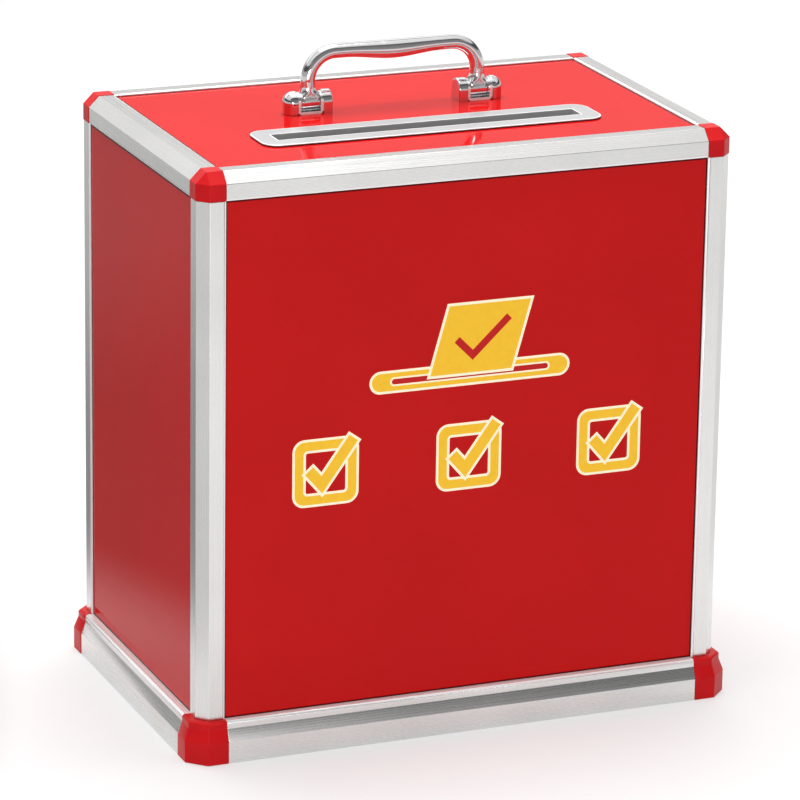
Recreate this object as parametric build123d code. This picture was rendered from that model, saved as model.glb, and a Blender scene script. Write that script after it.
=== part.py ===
from build123d import *
import os
from math import cos, pi, sqrt

# A ballot box: an aluminium corner-profile frame with red panels, moulded corner pieces,
# a slotted bezel and a folding carrying handle on the lid, and a hinged, locking rear door.
# Millimetres. X runs along the front, the front faces -Y, Z is up, and the origin is at the
# centre of the underside.

# Overall sizes, over the posts and up to the top of the frame
width = 400.0
depth = 254.0
height = 425.0

# Corner profile of the posts and the top rails
profile_face = 19.4
profile_chamfer = 7.6
lip_wall = 1.6
lip_bevel_width = 1.6
lip_bevel_depth = 0.6
channel_width = 3.2
channel_depth = 7.0
inner_wall = 1.4
chamber_wall = 1.5

# Base profile, which flares out below the panels
skirt_offset = 8.4
band_offset = 5.2
skirt_height = 16.2
slope_top = 24.9
base_height = 30.4
base_bevel = 1.6

# Corner pieces
corner_proud = 0.4
plug_length = 24.0
plug_clearance = 0.1
joint_gap = 0.1

# Panels
panel_thickness = 3.0
panel_clearance = 0.1

# Ballot slot and its bezel
slot_length = 230.0
slot_width = 16.0
slot_centre_y = -44.5
bezel_end_border = 13.8
bezel_side_border = 14.0
bezel_corner_radius = 12.0
bezel_height = 1.6
bezel_edge_round = 0.6
throat_wall = 1.5
throat_depth = 10.0
throat_clearance = 0.3
boss_radius = 3.2
boss_spread_y = 16.0
clamp_corner_radius = 9.0
clamp_thickness = 2.0

# Handle
handle_pivot_y = 21.0
pivot_height = 8.4
shank_spacing = 130.6
rod_radius = 5.3
bail_height = 48.7
bail_bend_radius = 20.5
belly_depth = 3.1
belly_span_share = 0.85
hub_radius = 6.0
hub_shoulder_height = 5.3
hub_corner_radius = 2.0
hub_flare_height = 11.0
foot_strip_width = 14.0
foot_strip_thickness = 2.0
foot_bend_radius = 3.0
ear_gap = 15.0
ear_offset = 1.0
pivot_pin_radius = 2.5
pin_head_radius = 4.2
pin_head_height = 1.8
cover_radius = 7.8
dome_collar = 1.6
inner_cap_length = 6.9
inner_cap_round = 1.0
washer_thickness = 1.2
stud_radius = 2.0
stud_length = 7.0
stud_spacing = 8.8
stud_nut_size = 7.0
stud_nut_height = 3.2

# Rear door
door_gap = 1.0
trim_width = 14.0
trim_wall = 1.4
trim_web = 2.0
stop_thickness = 2.0
stop_overlap = 5.6
stop_end_gap = 0.2
stop_screw_inset = 18.0

# Door hinges
hinge_length = 50.0
hinge_leaf_width = 11.0
hinge_leaf_thickness = 1.2
knuckle_radius = 2.8
hinge_pin_radius = 1.5
hinge_head_height = 1.0
knuckle_gap = 0.3
hinge_screw_offset = 5.7
hinge_screw_spacing = 30.0
hinge_height_shares = (0.14, 0.86)

# Lock
lock_edge_distance = 28.0
lock_height_share = 0.5
lock_flange_radius = 11.0
lock_flange_thickness = 2.2
lock_body_radius = 8.0
lock_barrel_radius = 6.0
lock_head_radius = 7.0
lock_head_depth = 2.0
keyway_length = 8.0
keyway_width = 1.4
keyway_depth = 6.0
lock_nut_size = 22.0
lock_nut_height = 3.4
cam_thickness = 2.0
cam_width = 12.0
cam_overlap = 8.0
cam_gap = 0.3
cam_square = 6.0
cam_screw_head_radius = 3.6
cam_screw_head_height = 2.0
cam_screw_radius = 2.0
cam_screw_length = 6.0

# Small screws
screw_radius = 1.45
screw_head_radius = 2.6
screw_head_height = 1.5
screw_recess_radius = 1.3
screw_recess_depth = 0.8

# Fits
running_clearance = 0.05
fixed_clearance = 0.05
cut_overrun = 5.0

# Places worked out from the sizes above
half_width = width / 2
half_depth = depth / 2
channel_floor = profile_face - channel_depth
channel_far = lip_wall + channel_width
leg_thickness = channel_far + inner_wall
panel_recess = lip_wall + (channel_width - panel_thickness) / 2
lid_top = height - panel_recess
lid_underside = lid_top - panel_thickness
bezel_length = slot_length + bezel_end_border * 2
bezel_width = slot_width + bezel_side_border * 2
pivot_z = lid_top + pivot_height
grip_z = lid_top + bail_height - rod_radius
opening_half_width = half_width - profile_face
opening_height = height - profile_face - base_height
door_half_width = opening_half_width - door_gap
door_height = opening_height - door_gap - door_gap
door_centre_z = base_height + opening_height / 2
door_channel = panel_thickness + running_clearance + running_clearance
door_thickness = trim_wall + door_channel + trim_wall
hinge_x = opening_half_width - door_gap / 2
hinge_y = half_depth + knuckle_radius
stop_face_y = half_depth - leg_thickness
cam_reach = lock_edge_distance + door_gap - (stop_overlap + door_gap) + cam_overlap
lock_x = -door_half_width + lock_edge_distance
lock_z = base_height + door_gap + door_height * lock_height_share
door_panel_face_y = half_depth - trim_wall - running_clearance

SIDES = (("left", -1), ("right", 1))
ENDS = (("front", -1), ("back", 1))


def save(name, shape):
    """Writes one sub-part to its own file."""
    shape.label = name
    export_step(shape, f"parts/{name}.step")


def block(x0, x1, y0, y1, z0, z1):
    """A box between two opposite corners."""
    return Pos(x0, y0, z0) * Box(x1 - x0, y1 - y0, z1 - z0, align=(Align.MIN, Align.MIN, Align.MIN))


def face_of(points):
    """A flat face inside a closed outline of straight lines."""
    return make_face(Polyline(*points, close=True))


def rod(start, direction, radius, length):
    """A round bar from a point along a direction."""
    return Plane(origin=start, z_dir=direction) * extrude(Circle(radius), length)


def hexagon_nut(start, direction, across_flats, thickness, hole_radius):
    """A plain hexagon nut whose near face is at a point."""
    outline = RegularPolygon(across_flats / 2, 6, major_radius=False) - Circle(hole_radius)
    return Plane(origin=start, z_dir=direction) * extrude(outline, thickness)


def placed(shape, x_side, y_side):
    """Mirrors a piece that is made at the left front corner to the corner of the given sides."""
    if x_side > 0:
        shape = mirror(shape, about=Plane.YZ)
    if y_side > 0:
        shape = mirror(shape, about=Plane.XZ)
    return shape


def screw(head_top, direction, length):
    """A small countersunk screw whose flat head lies at a point, driven along a direction."""
    upright = (Align.CENTER, Align.CENTER, Align.MIN)
    head = Cone(screw_head_radius, screw_radius, screw_head_height, align=upright)
    shank = extrude(Circle(screw_radius), length)
    cross = Box(screw_recess_radius * 2, screw_recess_depth, screw_recess_depth * 2)
    recess = cross + Rot(0, 0, 90) * cross
    return Plane(origin=head_top, z_dir=direction) * (head + shank - recess)


def screw_hole(head_top, direction, length):
    """The countersunk hole that a small screw sits in."""
    wide = screw_head_radius + fixed_clearance
    narrow = screw_radius + fixed_clearance
    head = Cone(wide, narrow, screw_head_height, align=(Align.CENTER, Align.CENTER, Align.MIN))
    return Plane(origin=head_top, z_dir=direction) * (head + extrude(Circle(narrow), length))


# Corner profile, drawn with the outer corner at zero and both directions running inwards

def corner_section():
    p = profile_face
    side = [
        (profile_chamfer, 0),
        (p - lip_bevel_width, 0),
        (p, lip_bevel_depth),
        (p, lip_wall),
        (channel_floor, lip_wall),
        (channel_floor, channel_far),
        (p, channel_far),
        (p, leg_thickness),
        (channel_floor, leg_thickness),
        (channel_floor, channel_floor),
    ]
    other = [(v, u) for u, v in reversed(side[:-1])]
    return face_of(side + other) - chamber_section(0)


def chamber_section(inset):
    """The hollow that takes the corner pieces' plug legs, or a leg when inset by a clearance."""
    near = chamber_wall + inset
    far = channel_floor - chamber_wall - inset
    knee = profile_chamfer + near * sqrt(2) - near
    return face_of([(knee, near), (far, near), (far, far), (near, far), (near, knee)])


def base_section():
    """Base profile: the first direction runs inwards from the post's face, the second up."""
    outer = face_of([
        (-skirt_offset, 0),
        (-skirt_offset, skirt_height),
        (-band_offset, slope_top),
        (-band_offset, base_height - base_bevel),
        (-band_offset + base_bevel, base_height),
        (lip_wall, base_height),
        (lip_wall, base_height - channel_depth),
        (channel_far, base_height - channel_depth),
        (channel_far, base_height),
        (leg_thickness, base_height),
        (leg_thickness, base_block_top()),
        (channel_floor, base_block_top()),
        (channel_floor, leg_thickness),
        (profile_face, leg_thickness),
        (profile_face, channel_far),
        (channel_floor, channel_far),
        (channel_floor, lip_wall),
        (profile_face, lip_wall),
        (profile_face, 0),
    ])
    return outer - base_chamber(0)


def base_block_top():
    return skirt_height + chamber_wall


def base_chamber(inset):
    near = -skirt_offset + chamber_wall + inset
    far = channel_floor - chamber_wall - inset
    low = chamber_wall + inset
    high = skirt_height - inset
    return face_of([(near, low), (far, low), (far, high), (near, high)])


# Planes that carry the sections at the left front corner or along the front and left edges

POST_PLANE = Plane(origin=(-half_width, -half_depth, 0), x_dir=(1, 0, 0), z_dir=(0, 0, 1))
FRONT_TOP_PLANE = Plane(origin=(0, -half_depth, height), x_dir=(0, 1, 0), z_dir=(-1, 0, 0))
LEFT_TOP_PLANE = Plane(origin=(-half_width, 0, height), x_dir=(1, 0, 0), z_dir=(0, 1, 0))
FRONT_BASE_PLANE = Plane(origin=(0, -half_depth, 0), x_dir=(0, 1, 0), z_dir=(1, 0, 0))
LEFT_BASE_PLANE = Plane(origin=(-half_width, 0, 0), x_dir=(1, 0, 0), z_dir=(0, -1, 0))


def along(plane, section, start, end):
    """Runs a section along its plane's normal from one distance to another."""
    return plane.offset(start) * extrude(section, end - start)


def post():
    low = base_height + joint_gap
    high = height - profile_face - joint_gap
    return along(POST_PLANE, corner_section(), low, high)


def front_top_rail():
    reach = half_width - profile_face - joint_gap
    return along(FRONT_TOP_PLANE, corner_section(), -reach, reach)


def left_top_rail():
    reach = half_depth - profile_face - joint_gap
    return along(LEFT_TOP_PLANE, corner_section(), -reach, reach)


def front_base_rail():
    reach = half_width - profile_face - joint_gap
    return along(FRONT_BASE_PLANE, base_section(), -reach, reach)


def left_base_rail():
    reach = half_depth - profile_face - joint_gap
    return along(LEFT_BASE_PLANE, base_section(), -reach, reach)


# Moulded corner pieces

def corner_cap():
    """Top corner: a faceted block with three plug legs, made at the left front corner."""
    p = profile_face
    low = -corner_proud
    cube = block(low, p, low, p, low, p)
    leg = profile_chamfer + corner_proud * (2 - sqrt(2))
    outer_edges = (
        cube.edges().filter_by_position(Axis.X, low, low).filter_by_position(Axis.Y, low, low)
        + cube.edges().filter_by_position(Axis.X, low, low).filter_by_position(Axis.Z, low, low)
        + cube.edges().filter_by_position(Axis.Y, low, low).filter_by_position(Axis.Z, low, low)
    )
    cap = chamfer(outer_edges, leg)
    # A triangular facet joins the inner ends of the three chamfers
    facet_plane = Plane(origin=(low + leg, low + leg, low), z_dir=(-1, -1, -1))
    cap -= facet_plane * extrude(Rectangle(p * 2, p * 2), p)
    past = p + cut_overrun
    cap -= block(channel_floor, past, channel_floor, past, channel_floor, past)
    leg_face = chamber_section(plug_clearance)
    to_x = Plane(origin=(channel_floor, 0, 0), x_dir=(0, 1, 0), z_dir=(1, 0, 0))
    to_y = Plane(origin=(0, channel_floor, 0), x_dir=(0, 0, 1), z_dir=(0, 1, 0))
    to_z = Plane(origin=(0, 0, channel_floor), x_dir=(1, 0, 0), z_dir=(0, 0, 1))
    reach = channel_depth + plug_length
    for plane in (to_x, to_y, to_z):
        cap += plane * extrude(leg_face, reach)
    # Depth was drawn downwards as positive, so the piece is turned over into place
    return Pos(-half_width, -half_depth, height) * mirror(cap, about=Plane.XY)


def foot_outline(outset):
    """Outline of a base corner at a distance outside the posts' faces."""
    p = profile_face
    knee = profile_chamfer - outset * (sqrt(2) - 1)
    return face_of([(-outset, p), (-outset, knee), (knee, -outset), (p, -outset), (p, p)])


def corner_foot():
    """Bottom corner: follows the base profile round the corner, with three plug legs."""
    skirt = skirt_offset + corner_proud
    band = band_offset + corner_proud
    foot = extrude(foot_outline(skirt), skirt_height)
    foot += loft(
        [Pos(0, 0, skirt_height) * foot_outline(skirt), Pos(0, 0, slope_top) * foot_outline(band)],
        ruled=True,
    )
    band_top = base_height - base_bevel
    foot += Pos(0, 0, slope_top) * extrude(foot_outline(band), band_top - slope_top)
    foot += loft(
        [Pos(0, 0, band_top) * foot_outline(band), Pos(0, 0, base_height) * foot_outline(band - base_bevel)],
        ruled=True,
    )
    pocket_reach = profile_face + cut_overrun
    foot -= block(
        channel_floor, pocket_reach, channel_floor, pocket_reach, leg_thickness, base_height + cut_overrun
    )
    reach = channel_depth + plug_length
    leg_face = base_chamber(plug_clearance)
    to_x = Plane(origin=(channel_floor, 0, 0), x_dir=(0, 1, 0), z_dir=(1, 0, 0))
    foot += to_x * extrude(leg_face, reach)
    to_y = Plane(origin=(0, channel_floor, 0), x_dir=(1, 0, 0), z_dir=(0, -1, 0))
    foot += to_y * extrude(leg_face, -reach)
    up = base_height - channel_depth
    foot += Pos(0, 0, up) * extrude(chamber_section(plug_clearance), reach)
    return Pos(-half_width, -half_depth, 0) * foot


# Panels

def notched_sheet(half_x, half_y, notch, thickness):
    """A flat sheet, centred on zero, with a square cut out of each corner."""
    sheet = Box(half_x * 2, half_y * 2, thickness)
    for x_side in (-1, 1):
        for y_side in (-1, 1):
            corner = Box(notch * 2, notch * 2, thickness + cut_overrun)
            sheet -= Pos(x_side * half_x, y_side * half_y, 0) * corner
    return sheet


def side_panel_shape(half_run):
    """An upright panel, drawn flat: first direction along the wall, second up."""
    low = base_height - channel_depth + panel_clearance
    high = height - channel_floor - panel_clearance
    half_x = half_run - channel_floor - panel_clearance
    sheet = notched_sheet(half_x, (high - low) / 2, channel_depth, panel_thickness)
    return Pos(0, (low + high) / 2, 0) * sheet


def front_panel():
    y = -half_depth + panel_recess + panel_thickness / 2
    plane = Plane(origin=(0, y, 0), x_dir=(1, 0, 0), z_dir=(0, -1, 0))
    return plane * side_panel_shape(half_width)


def left_panel():
    x = -half_width + panel_recess + panel_thickness / 2
    plane = Plane(origin=(x, 0, 0), x_dir=(0, 1, 0), z_dir=(1, 0, 0))
    return plane * side_panel_shape(half_depth)


def bottom_panel():
    half_x = half_width - channel_floor - panel_clearance
    half_y = half_depth - channel_floor - panel_clearance
    z = panel_recess + panel_thickness / 2
    return Pos(0, 0, z) * notched_sheet(half_x, half_y, channel_depth, panel_thickness)


def top_panel():
    half_x = half_width - channel_floor - panel_clearance
    half_y = half_depth - channel_floor - panel_clearance
    z = lid_underside + panel_thickness / 2
    panel = Pos(0, 0, z) * notched_sheet(half_x, half_y, channel_depth, panel_thickness)
    throat_x = slot_length + (throat_wall + throat_clearance) * 2
    throat_y = slot_width + (throat_wall + throat_clearance) * 2
    panel -= Pos(0, slot_centre_y, z) * Box(throat_x, throat_y, panel_thickness + cut_overrun)
    for x, y in boss_places():
        start = (x, y, lid_underside - cut_overrun)
        panel -= rod(start, (0, 0, 1), boss_radius + throat_clearance, panel_thickness + cut_overrun * 2)
    for x in stud_places():
        start = (x, handle_pivot_y, lid_underside - cut_overrun)
        panel -= rod(start, (0, 0, 1), stud_radius + fixed_clearance, panel_thickness + cut_overrun * 2)
    return panel


# Ballot slot

def boss_places():
    x = (slot_length + bezel_end_border) / 2
    y = boss_spread_y / 2
    return [(sx * x, slot_centre_y + sy * y) for sx in (-1, 1) for sy in (-1, 1)]


def slot_bezel():
    """Raised surround with a throat through the lid and four bosses for its screws."""
    plate = extrude(RectangleRounded(bezel_length, bezel_width, bezel_corner_radius), bezel_height)
    plate = fillet(plate.edges().group_by(Axis.Z)[-1], bezel_edge_round)
    bezel = Pos(0, slot_centre_y, lid_top) * plate
    throat = Rectangle(slot_length + throat_wall * 2, slot_width + throat_wall * 2)
    bezel += Pos(0, slot_centre_y, lid_top - throat_depth) * extrude(throat, throat_depth + bezel_height)
    opening = Box(slot_length, slot_width, (throat_depth + bezel_height + cut_overrun) * 2)
    bezel -= Pos(0, slot_centre_y, lid_top) * opening
    for x, y in boss_places():
        bezel += rod((x, y, lid_underside), (0, 0, 1), boss_radius, panel_thickness)
    for x, y in boss_places():
        bezel -= rod((x, y, lid_underside), (0, 0, 1), screw_radius + fixed_clearance, panel_thickness)
    return bezel


def clamp_frame():
    """Flat frame under the lid that the bezel is screwed to."""
    inner_x = slot_length + (throat_wall + throat_clearance) * 2
    inner_y = slot_width + (throat_wall + throat_clearance) * 2
    outline = RectangleRounded(bezel_length, bezel_width, clamp_corner_radius) - Rectangle(inner_x, inner_y)
    frame = Pos(0, slot_centre_y, lid_underside - clamp_thickness) * extrude(outline, clamp_thickness)
    for x, y in boss_places():
        start = (x, y, lid_underside - clamp_thickness)
        frame -= screw_hole(start, (0, 0, 1), clamp_thickness + cut_overrun)
    return frame


def clamp_screws():
    length = clamp_thickness + panel_thickness - fixed_clearance
    return Compound(children=[
        screw((x, y, lid_underside - clamp_thickness), (0, 0, 1), length) for x, y in boss_places()
    ])


# Handle

def stud_places():
    places = []
    for side in (-1, 1):
        centre = side * foot_centre_x()
        places += [centre - stud_spacing / 2, centre + stud_spacing / 2]
    return places


def outer_ear_x():
    """Inner face of the outer ear, on the right-hand side."""
    return shank_spacing / 2 + ear_offset + washer_thickness + rod_radius - running_clearance * 2


def inner_ear_x():
    return outer_ear_x() - ear_gap


def inner_face_x():
    """Outside of the inner ear, which faces the middle of the lid."""
    return inner_ear_x() - foot_strip_thickness


def outer_face_x():
    return outer_ear_x() + foot_strip_thickness


def foot_centre_x():
    return (outer_ear_x() + inner_ear_x()) / 2


def handle_bracket():
    """Right-hand foot of the handle: a strip bent up into two ears, with two studs through the lid."""
    inner_x = inner_face_x()
    span = outer_face_x() - inner_x
    half_strip = foot_strip_width / 2
    y0 = handle_pivot_y - half_strip
    y1 = handle_pivot_y + half_strip
    bracket = block(inner_x, inner_x + span, y0, y1, lid_top, pivot_z)
    bends = bracket.edges().filter_by(Axis.Y).group_by(Axis.Z)[0]
    bracket = fillet(bends, foot_bend_radius)
    bracket += rod((inner_x, handle_pivot_y, pivot_z), (1, 0, 0), half_strip, span)
    floor_z = lid_top + foot_strip_thickness
    bracket -= block(inner_ear_x(), outer_ear_x(), y0, y1, floor_z, pivot_z + foot_strip_width)
    bore = pivot_pin_radius + running_clearance
    bracket -= rod((inner_x, handle_pivot_y, pivot_z), (1, 0, 0), bore, span)
    for x in stud_places():
        if x > 0:
            bracket += rod((x, handle_pivot_y, lid_top), (0, 0, -1), stud_radius, stud_length)
    return bracket


def handle_pin():
    """Right-hand pivot pin, with a head outside each ear."""
    inner_end = (inner_face_x(), handle_pivot_y, pivot_z)
    outer_end = (outer_face_x(), handle_pivot_y, pivot_z)
    pin = rod(inner_end, (1, 0, 0), pivot_pin_radius, outer_face_x() - inner_face_x())
    pin += rod(outer_end, (1, 0, 0), pin_head_radius, pin_head_height)
    return pin + rod(inner_end, (-1, 0, 0), pin_head_radius, pin_head_height)


def pin_pocket(face_x, direction):
    """Recess in a foot's cover that the pin's head sits in."""
    radius = pin_head_radius + fixed_clearance
    depth = pin_head_height + fixed_clearance
    return rod((face_x, handle_pivot_y, pivot_z), (direction, 0, 0), radius, depth)


def cover_slab(face_x, direction, thickness):
    """Upright slab against an ear, with a round top about the pivot and straight sides below."""
    outline = Circle(cover_radius) + Pos(0, -pivot_height / 2) * Rectangle(cover_radius * 2, pivot_height)
    origin = (face_x, handle_pivot_y, pivot_z)
    plane = Plane(origin=origin, x_dir=(0, direction, 0), z_dir=(direction, 0, 0))
    return plane * extrude(outline, thickness)


def handle_dome():
    """Right-hand cover of the outer ear: a short slab that ends in half a ball on half a post."""
    centre_x = outer_face_x() + dome_collar
    y0 = handle_pivot_y - cover_radius
    y1 = handle_pivot_y + cover_radius
    ball = Pos(centre_x, handle_pivot_y, pivot_z) * Sphere(cover_radius)
    ball += rod((centre_x, handle_pivot_y, lid_top), (0, 0, 1), cover_radius, pivot_height)
    outside = block(centre_x, centre_x + cover_radius, y0, y1, lid_top, pivot_z + cover_radius)
    dome = cover_slab(outer_face_x(), 1, dome_collar) + (ball & outside)
    return dome - pin_pocket(outer_face_x(), 1)


def inner_cap():
    """Right-hand cover of the inner ear: a slab whose far rim is rounded."""
    cap = cover_slab(inner_face_x(), -1, inner_cap_length)
    far_face = cap.faces().sort_by(Axis.X)[0]
    lowest = lid_top + inner_cap_round
    rim = far_face.edges().filter_by(lambda edge: edge.center().Z > lowest)
    return fillet(rim, inner_cap_round) - pin_pocket(inner_face_x(), -1)


def handle_inner_caps():
    cap = inner_cap()
    return Compound(children=[placed(cap, side, -1) for side in (1, -1)])


def friction_washers():
    """Spring washers that hold the handle where it is put, one at each outer ear."""
    rings = []
    for side in (-1, 1):
        start = (side * outer_ear_x(), handle_pivot_y, pivot_z)
        ring = Circle(hub_radius) - Circle(pivot_pin_radius + running_clearance)
        rings.append(Plane(origin=start, z_dir=(-side, 0, 0)) * extrude(ring, washer_thickness))
    return Compound(children=rings)


def handle_nuts():
    nuts = []
    for x in stud_places():
        start = (x, handle_pivot_y, lid_underside)
        bore = stud_radius + fixed_clearance
        nuts.append(hexagon_nut(start, (0, 0, -1), stud_nut_size, stud_nut_height, bore))
    return Compound(children=nuts)


def handle_bail():
    """Bent rod handle: grip with a swelling under it, two bends, two shanks and their hubs."""
    shank_x = shank_spacing / 2
    bend_x = shank_x - bail_bend_radius
    belly_end = bend_x * belly_span_share
    bend_z = grip_z - bail_bend_radius
    y = handle_pivot_y
    # Swelling of the grip, with its top line kept straight
    stations = 8
    sections = []
    for i in range(stations + 1):
        share = 2 * i / stations - 1
        swell = belly_depth * cos(pi * share / 2) ** 2
        centre = (share * belly_end, y, grip_z - swell / 2)
        plane = Plane(origin=centre, x_dir=(0, 1, 0), z_dir=(1, 0, 0))
        sections.append(plane * Ellipse(rod_radius + swell / 4, rod_radius + swell / 2))
    bail = loft(sections)
    for side in (-1, 1):
        line = Line((side * belly_end, y, grip_z), (side * bend_x, y, grip_z))
        bend = TangentArc((side * bend_x, y, grip_z), (side * shank_x, y, bend_z), tangent=(side, 0, 0))
        down = Line((side * shank_x, y, bend_z), (side * shank_x, y, pivot_z))
        start = Plane(origin=(side * belly_end, y, grip_z), z_dir=(side, 0, 0))
        bail += sweep(start * Circle(rod_radius), path=Wire([line, bend, down]))
    washer_face = outer_ear_x() - washer_thickness - running_clearance * 2
    hub_inner = inner_ear_x() + running_clearance * 2
    hub_length = washer_face - hub_inner
    hub_centre = (washer_face + hub_inner) / 2
    for side in (-1, 1):
        bail += rod((side * hub_inner, y, pivot_z), (side, 0, 0), hub_radius, hub_length)
        shoulder = RectangleRounded(hub_length, hub_radius * 2, hub_corner_radius)
        bail += Pos(side * hub_centre, y, pivot_z) * extrude(shoulder, hub_shoulder_height)
        root = Pos(side * hub_centre, y, pivot_z + hub_shoulder_height) * shoulder
        neck = Pos(side * shank_x, y, pivot_z + hub_flare_height) * Circle(rod_radius)
        bail += loft([root, neck])
    for side in (-1, 1):
        start = (side * (hub_inner - cut_overrun), y, pivot_z)
        length = washer_face - hub_inner + cut_overrun * 2
        bail -= rod(start, (side, 0, 0), pivot_pin_radius + running_clearance, length)
    return bail


# Rear door, drawn in the plane of its rear face and set back into the opening

def door_plane(depth_in):
    """Plane parallel to the door's outer face, at a depth inside it; its normal points in."""
    return Plane(origin=(0, half_depth - depth_in, door_centre_z), x_dir=(1, 0, 0), z_dir=(0, -1, 0))


def mitred(half_run, half_rise, inner, outer):
    """Top member of a mitred frame: a strip between two distances in from the frame's edge."""
    return face_of([
        (-half_run + outer, half_rise - outer),
        (half_run - outer, half_rise - outer),
        (half_run - inner, half_rise - inner),
        (-half_run + inner, half_rise - inner),
    ])


def trim(half_run, half_rise):
    """Channel-shaped edge trim along the top of a frame of the given half sizes."""
    walls = mitred(half_run, half_rise, trim_width, 0)
    web = mitred(half_run, half_rise, trim_web, 0)
    member = extrude(walls, trim_wall)
    member += Pos(0, 0, trim_wall) * extrude(web, door_channel)
    member += Pos(0, 0, trim_wall + door_channel) * extrude(walls, trim_wall)
    return member


def door_trims():
    """The four trims of the door: top, bottom, lock side and hinge side."""
    half_rise = door_height / 2
    top = door_plane(0) * trim(door_half_width, half_rise)
    bottom = door_plane(0) * (Rot(0, 0, 180) * trim(door_half_width, half_rise))
    lock_side = door_plane(0) * (Rot(0, 0, 90) * trim(half_rise, door_half_width))
    hinge_side = door_plane(0) * (Rot(0, 0, -90) * trim(half_rise, door_half_width))
    hinge_side -= hinge_screw_holes(1)
    return {"top": top, "bottom": bottom, "lock_side": lock_side, "hinge_side": hinge_side}


def door_panel():
    inset = trim_web + panel_clearance
    half_x = door_half_width - inset
    half_z = door_height / 2 - inset
    sheet = Pos(0, 0, panel_thickness / 2) * Box(half_x * 2, half_z * 2, panel_thickness)
    panel = door_plane(trim_wall + running_clearance) * sheet
    lock_hole = lock_body_radius + fixed_clearance
    panel -= rod((lock_x, half_depth, lock_z), (0, -1, 0), lock_hole, door_thickness + cut_overrun)
    panel -= hinge_screw_holes(1)
    return panel


# Door hinges

def hinge_centres():
    return [base_height + door_gap + door_height * share for share in hinge_height_shares]


def hinge_screw_places(side):
    """Screw places of one leaf: side 1 is the door's leaf, -1 the frame's."""
    x = hinge_x - side * hinge_screw_offset
    spread = hinge_screw_spacing / 2
    return [(x, z + end * spread) for z in hinge_centres() for end in (-1, 1)]


def hinge_screw_holes(side):
    start_y = half_depth + hinge_leaf_thickness
    length = hinge_leaf_thickness + leg_thickness + cut_overrun / 2
    holes = [screw_hole((x, start_y, z), (0, -1, 0), length) for x, z in hinge_screw_places(side)]
    return Compound(children=holes)


def hinge_screws(side):
    start_y = half_depth + hinge_leaf_thickness
    length = hinge_leaf_thickness + door_thickness
    places = hinge_screw_places(side)
    return Compound(children=[screw((x, start_y, z), (0, -1, 0), length) for x, z in places])


def hinge_leaf(side, centre_z):
    """One leaf with its knuckles: the door's leaf has the middle knuckle, the frame's the ends."""
    third = hinge_length / 3
    low = centre_z - hinge_length / 2
    if side > 0:
        spans = [(low + third + knuckle_gap / 2, low + third * 2 - knuckle_gap / 2)]
    else:
        first_end = low + third - knuckle_gap / 2
        last_start = low + third * 2 + knuckle_gap / 2
        spans = [(low, first_end), (last_start, low + hinge_length)]
    inner = knuckle_radius + knuckle_gap
    face_y = half_depth
    top_y = half_depth + hinge_leaf_thickness
    near_x = hinge_x - side * inner
    far_x = hinge_x - side * hinge_leaf_width
    leaf = block(min(near_x, far_x), max(near_x, far_x), face_y, top_y, low, low + hinge_length)
    for z0, z1 in spans:
        leaf += rod((hinge_x, hinge_y, z0), (0, 0, 1), knuckle_radius, z1 - z0)
        leaf += block(min(hinge_x, near_x), max(hinge_x, near_x), face_y, top_y, z0, z1)
        leaf -= rod((hinge_x, hinge_y, z0), (0, 0, 1), hinge_pin_radius + running_clearance, z1 - z0)
    return leaf - hinge_screw_holes(side)


def hinge_pin(centre_z):
    low = centre_z - hinge_length / 2
    pin = rod((hinge_x, hinge_y, low), (0, 0, 1), hinge_pin_radius, hinge_length)
    head_radius = (hinge_pin_radius + knuckle_radius) / 2
    pin += rod((hinge_x, hinge_y, low + hinge_length), (0, 0, 1), head_radius, hinge_head_height)
    return pin + rod((hinge_x, hinge_y, low), (0, 0, -1), head_radius, hinge_head_height)


# Strips that the door closes against

def stop_width():
    return channel_depth + door_gap + stop_overlap


def stop_strips():
    """Lock-side, top and bottom strips behind the opening's edges, with their screw places."""
    edge = half_width - channel_floor
    y1 = stop_face_y
    y0 = stop_face_y - stop_thickness
    upright_z = (base_height + stop_end_gap, height - profile_face - stop_end_gap)
    cross_x = (-edge + stop_width() + stop_end_gap, opening_half_width - stop_end_gap)
    top_z = (height - channel_floor - stop_width(), height - channel_floor)
    bottom_z = (base_height - channel_depth, base_height - channel_depth + stop_width())
    return {
        "lock_side": block(-edge, -edge + stop_width(), y0, y1, *upright_z),
        "top": block(*cross_x, y0, y1, *top_z),
        "bottom": block(*cross_x, y0, y1, *bottom_z),
    }


def stop_screw_places():
    """Screw places of the strips, in the profiles' inner walls."""
    x_post = -half_width + (channel_floor + profile_face) / 2
    z_top = height - (channel_floor + profile_face) / 2
    z_base = base_height - channel_depth / 2
    z_low = base_height + stop_screw_inset
    z_high = height - profile_face - stop_screw_inset
    x_reach = opening_half_width - stop_screw_inset * 2
    return {
        "lock_side": [(x_post, z) for z in (z_low, (z_low + z_high) / 2, z_high)],
        "top": [(x, z_top) for x in (-x_reach, 0, x_reach)],
        "bottom": [(x, z_base) for x in (-x_reach, 0, x_reach)],
    }


def stop_screw_holes(places):
    start_y = stop_face_y - stop_thickness
    length = stop_thickness + inner_wall + channel_width / 2
    return Compound(children=[screw_hole((x, start_y, z), (0, 1, 0), length) for x, z in places])


def stop_screws():
    start_y = stop_face_y - stop_thickness
    length = stop_thickness + inner_wall + channel_width / 3
    places = [place for group in stop_screw_places().values() for place in group]
    return Compound(children=[screw((x, start_y, z), (0, 1, 0), length) for x, z in places])


# Lock

def lock_inner_y():
    """Inner end of the lock's housing, just outside the cam."""
    return cam_face_y() + cam_gap / 2


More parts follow.
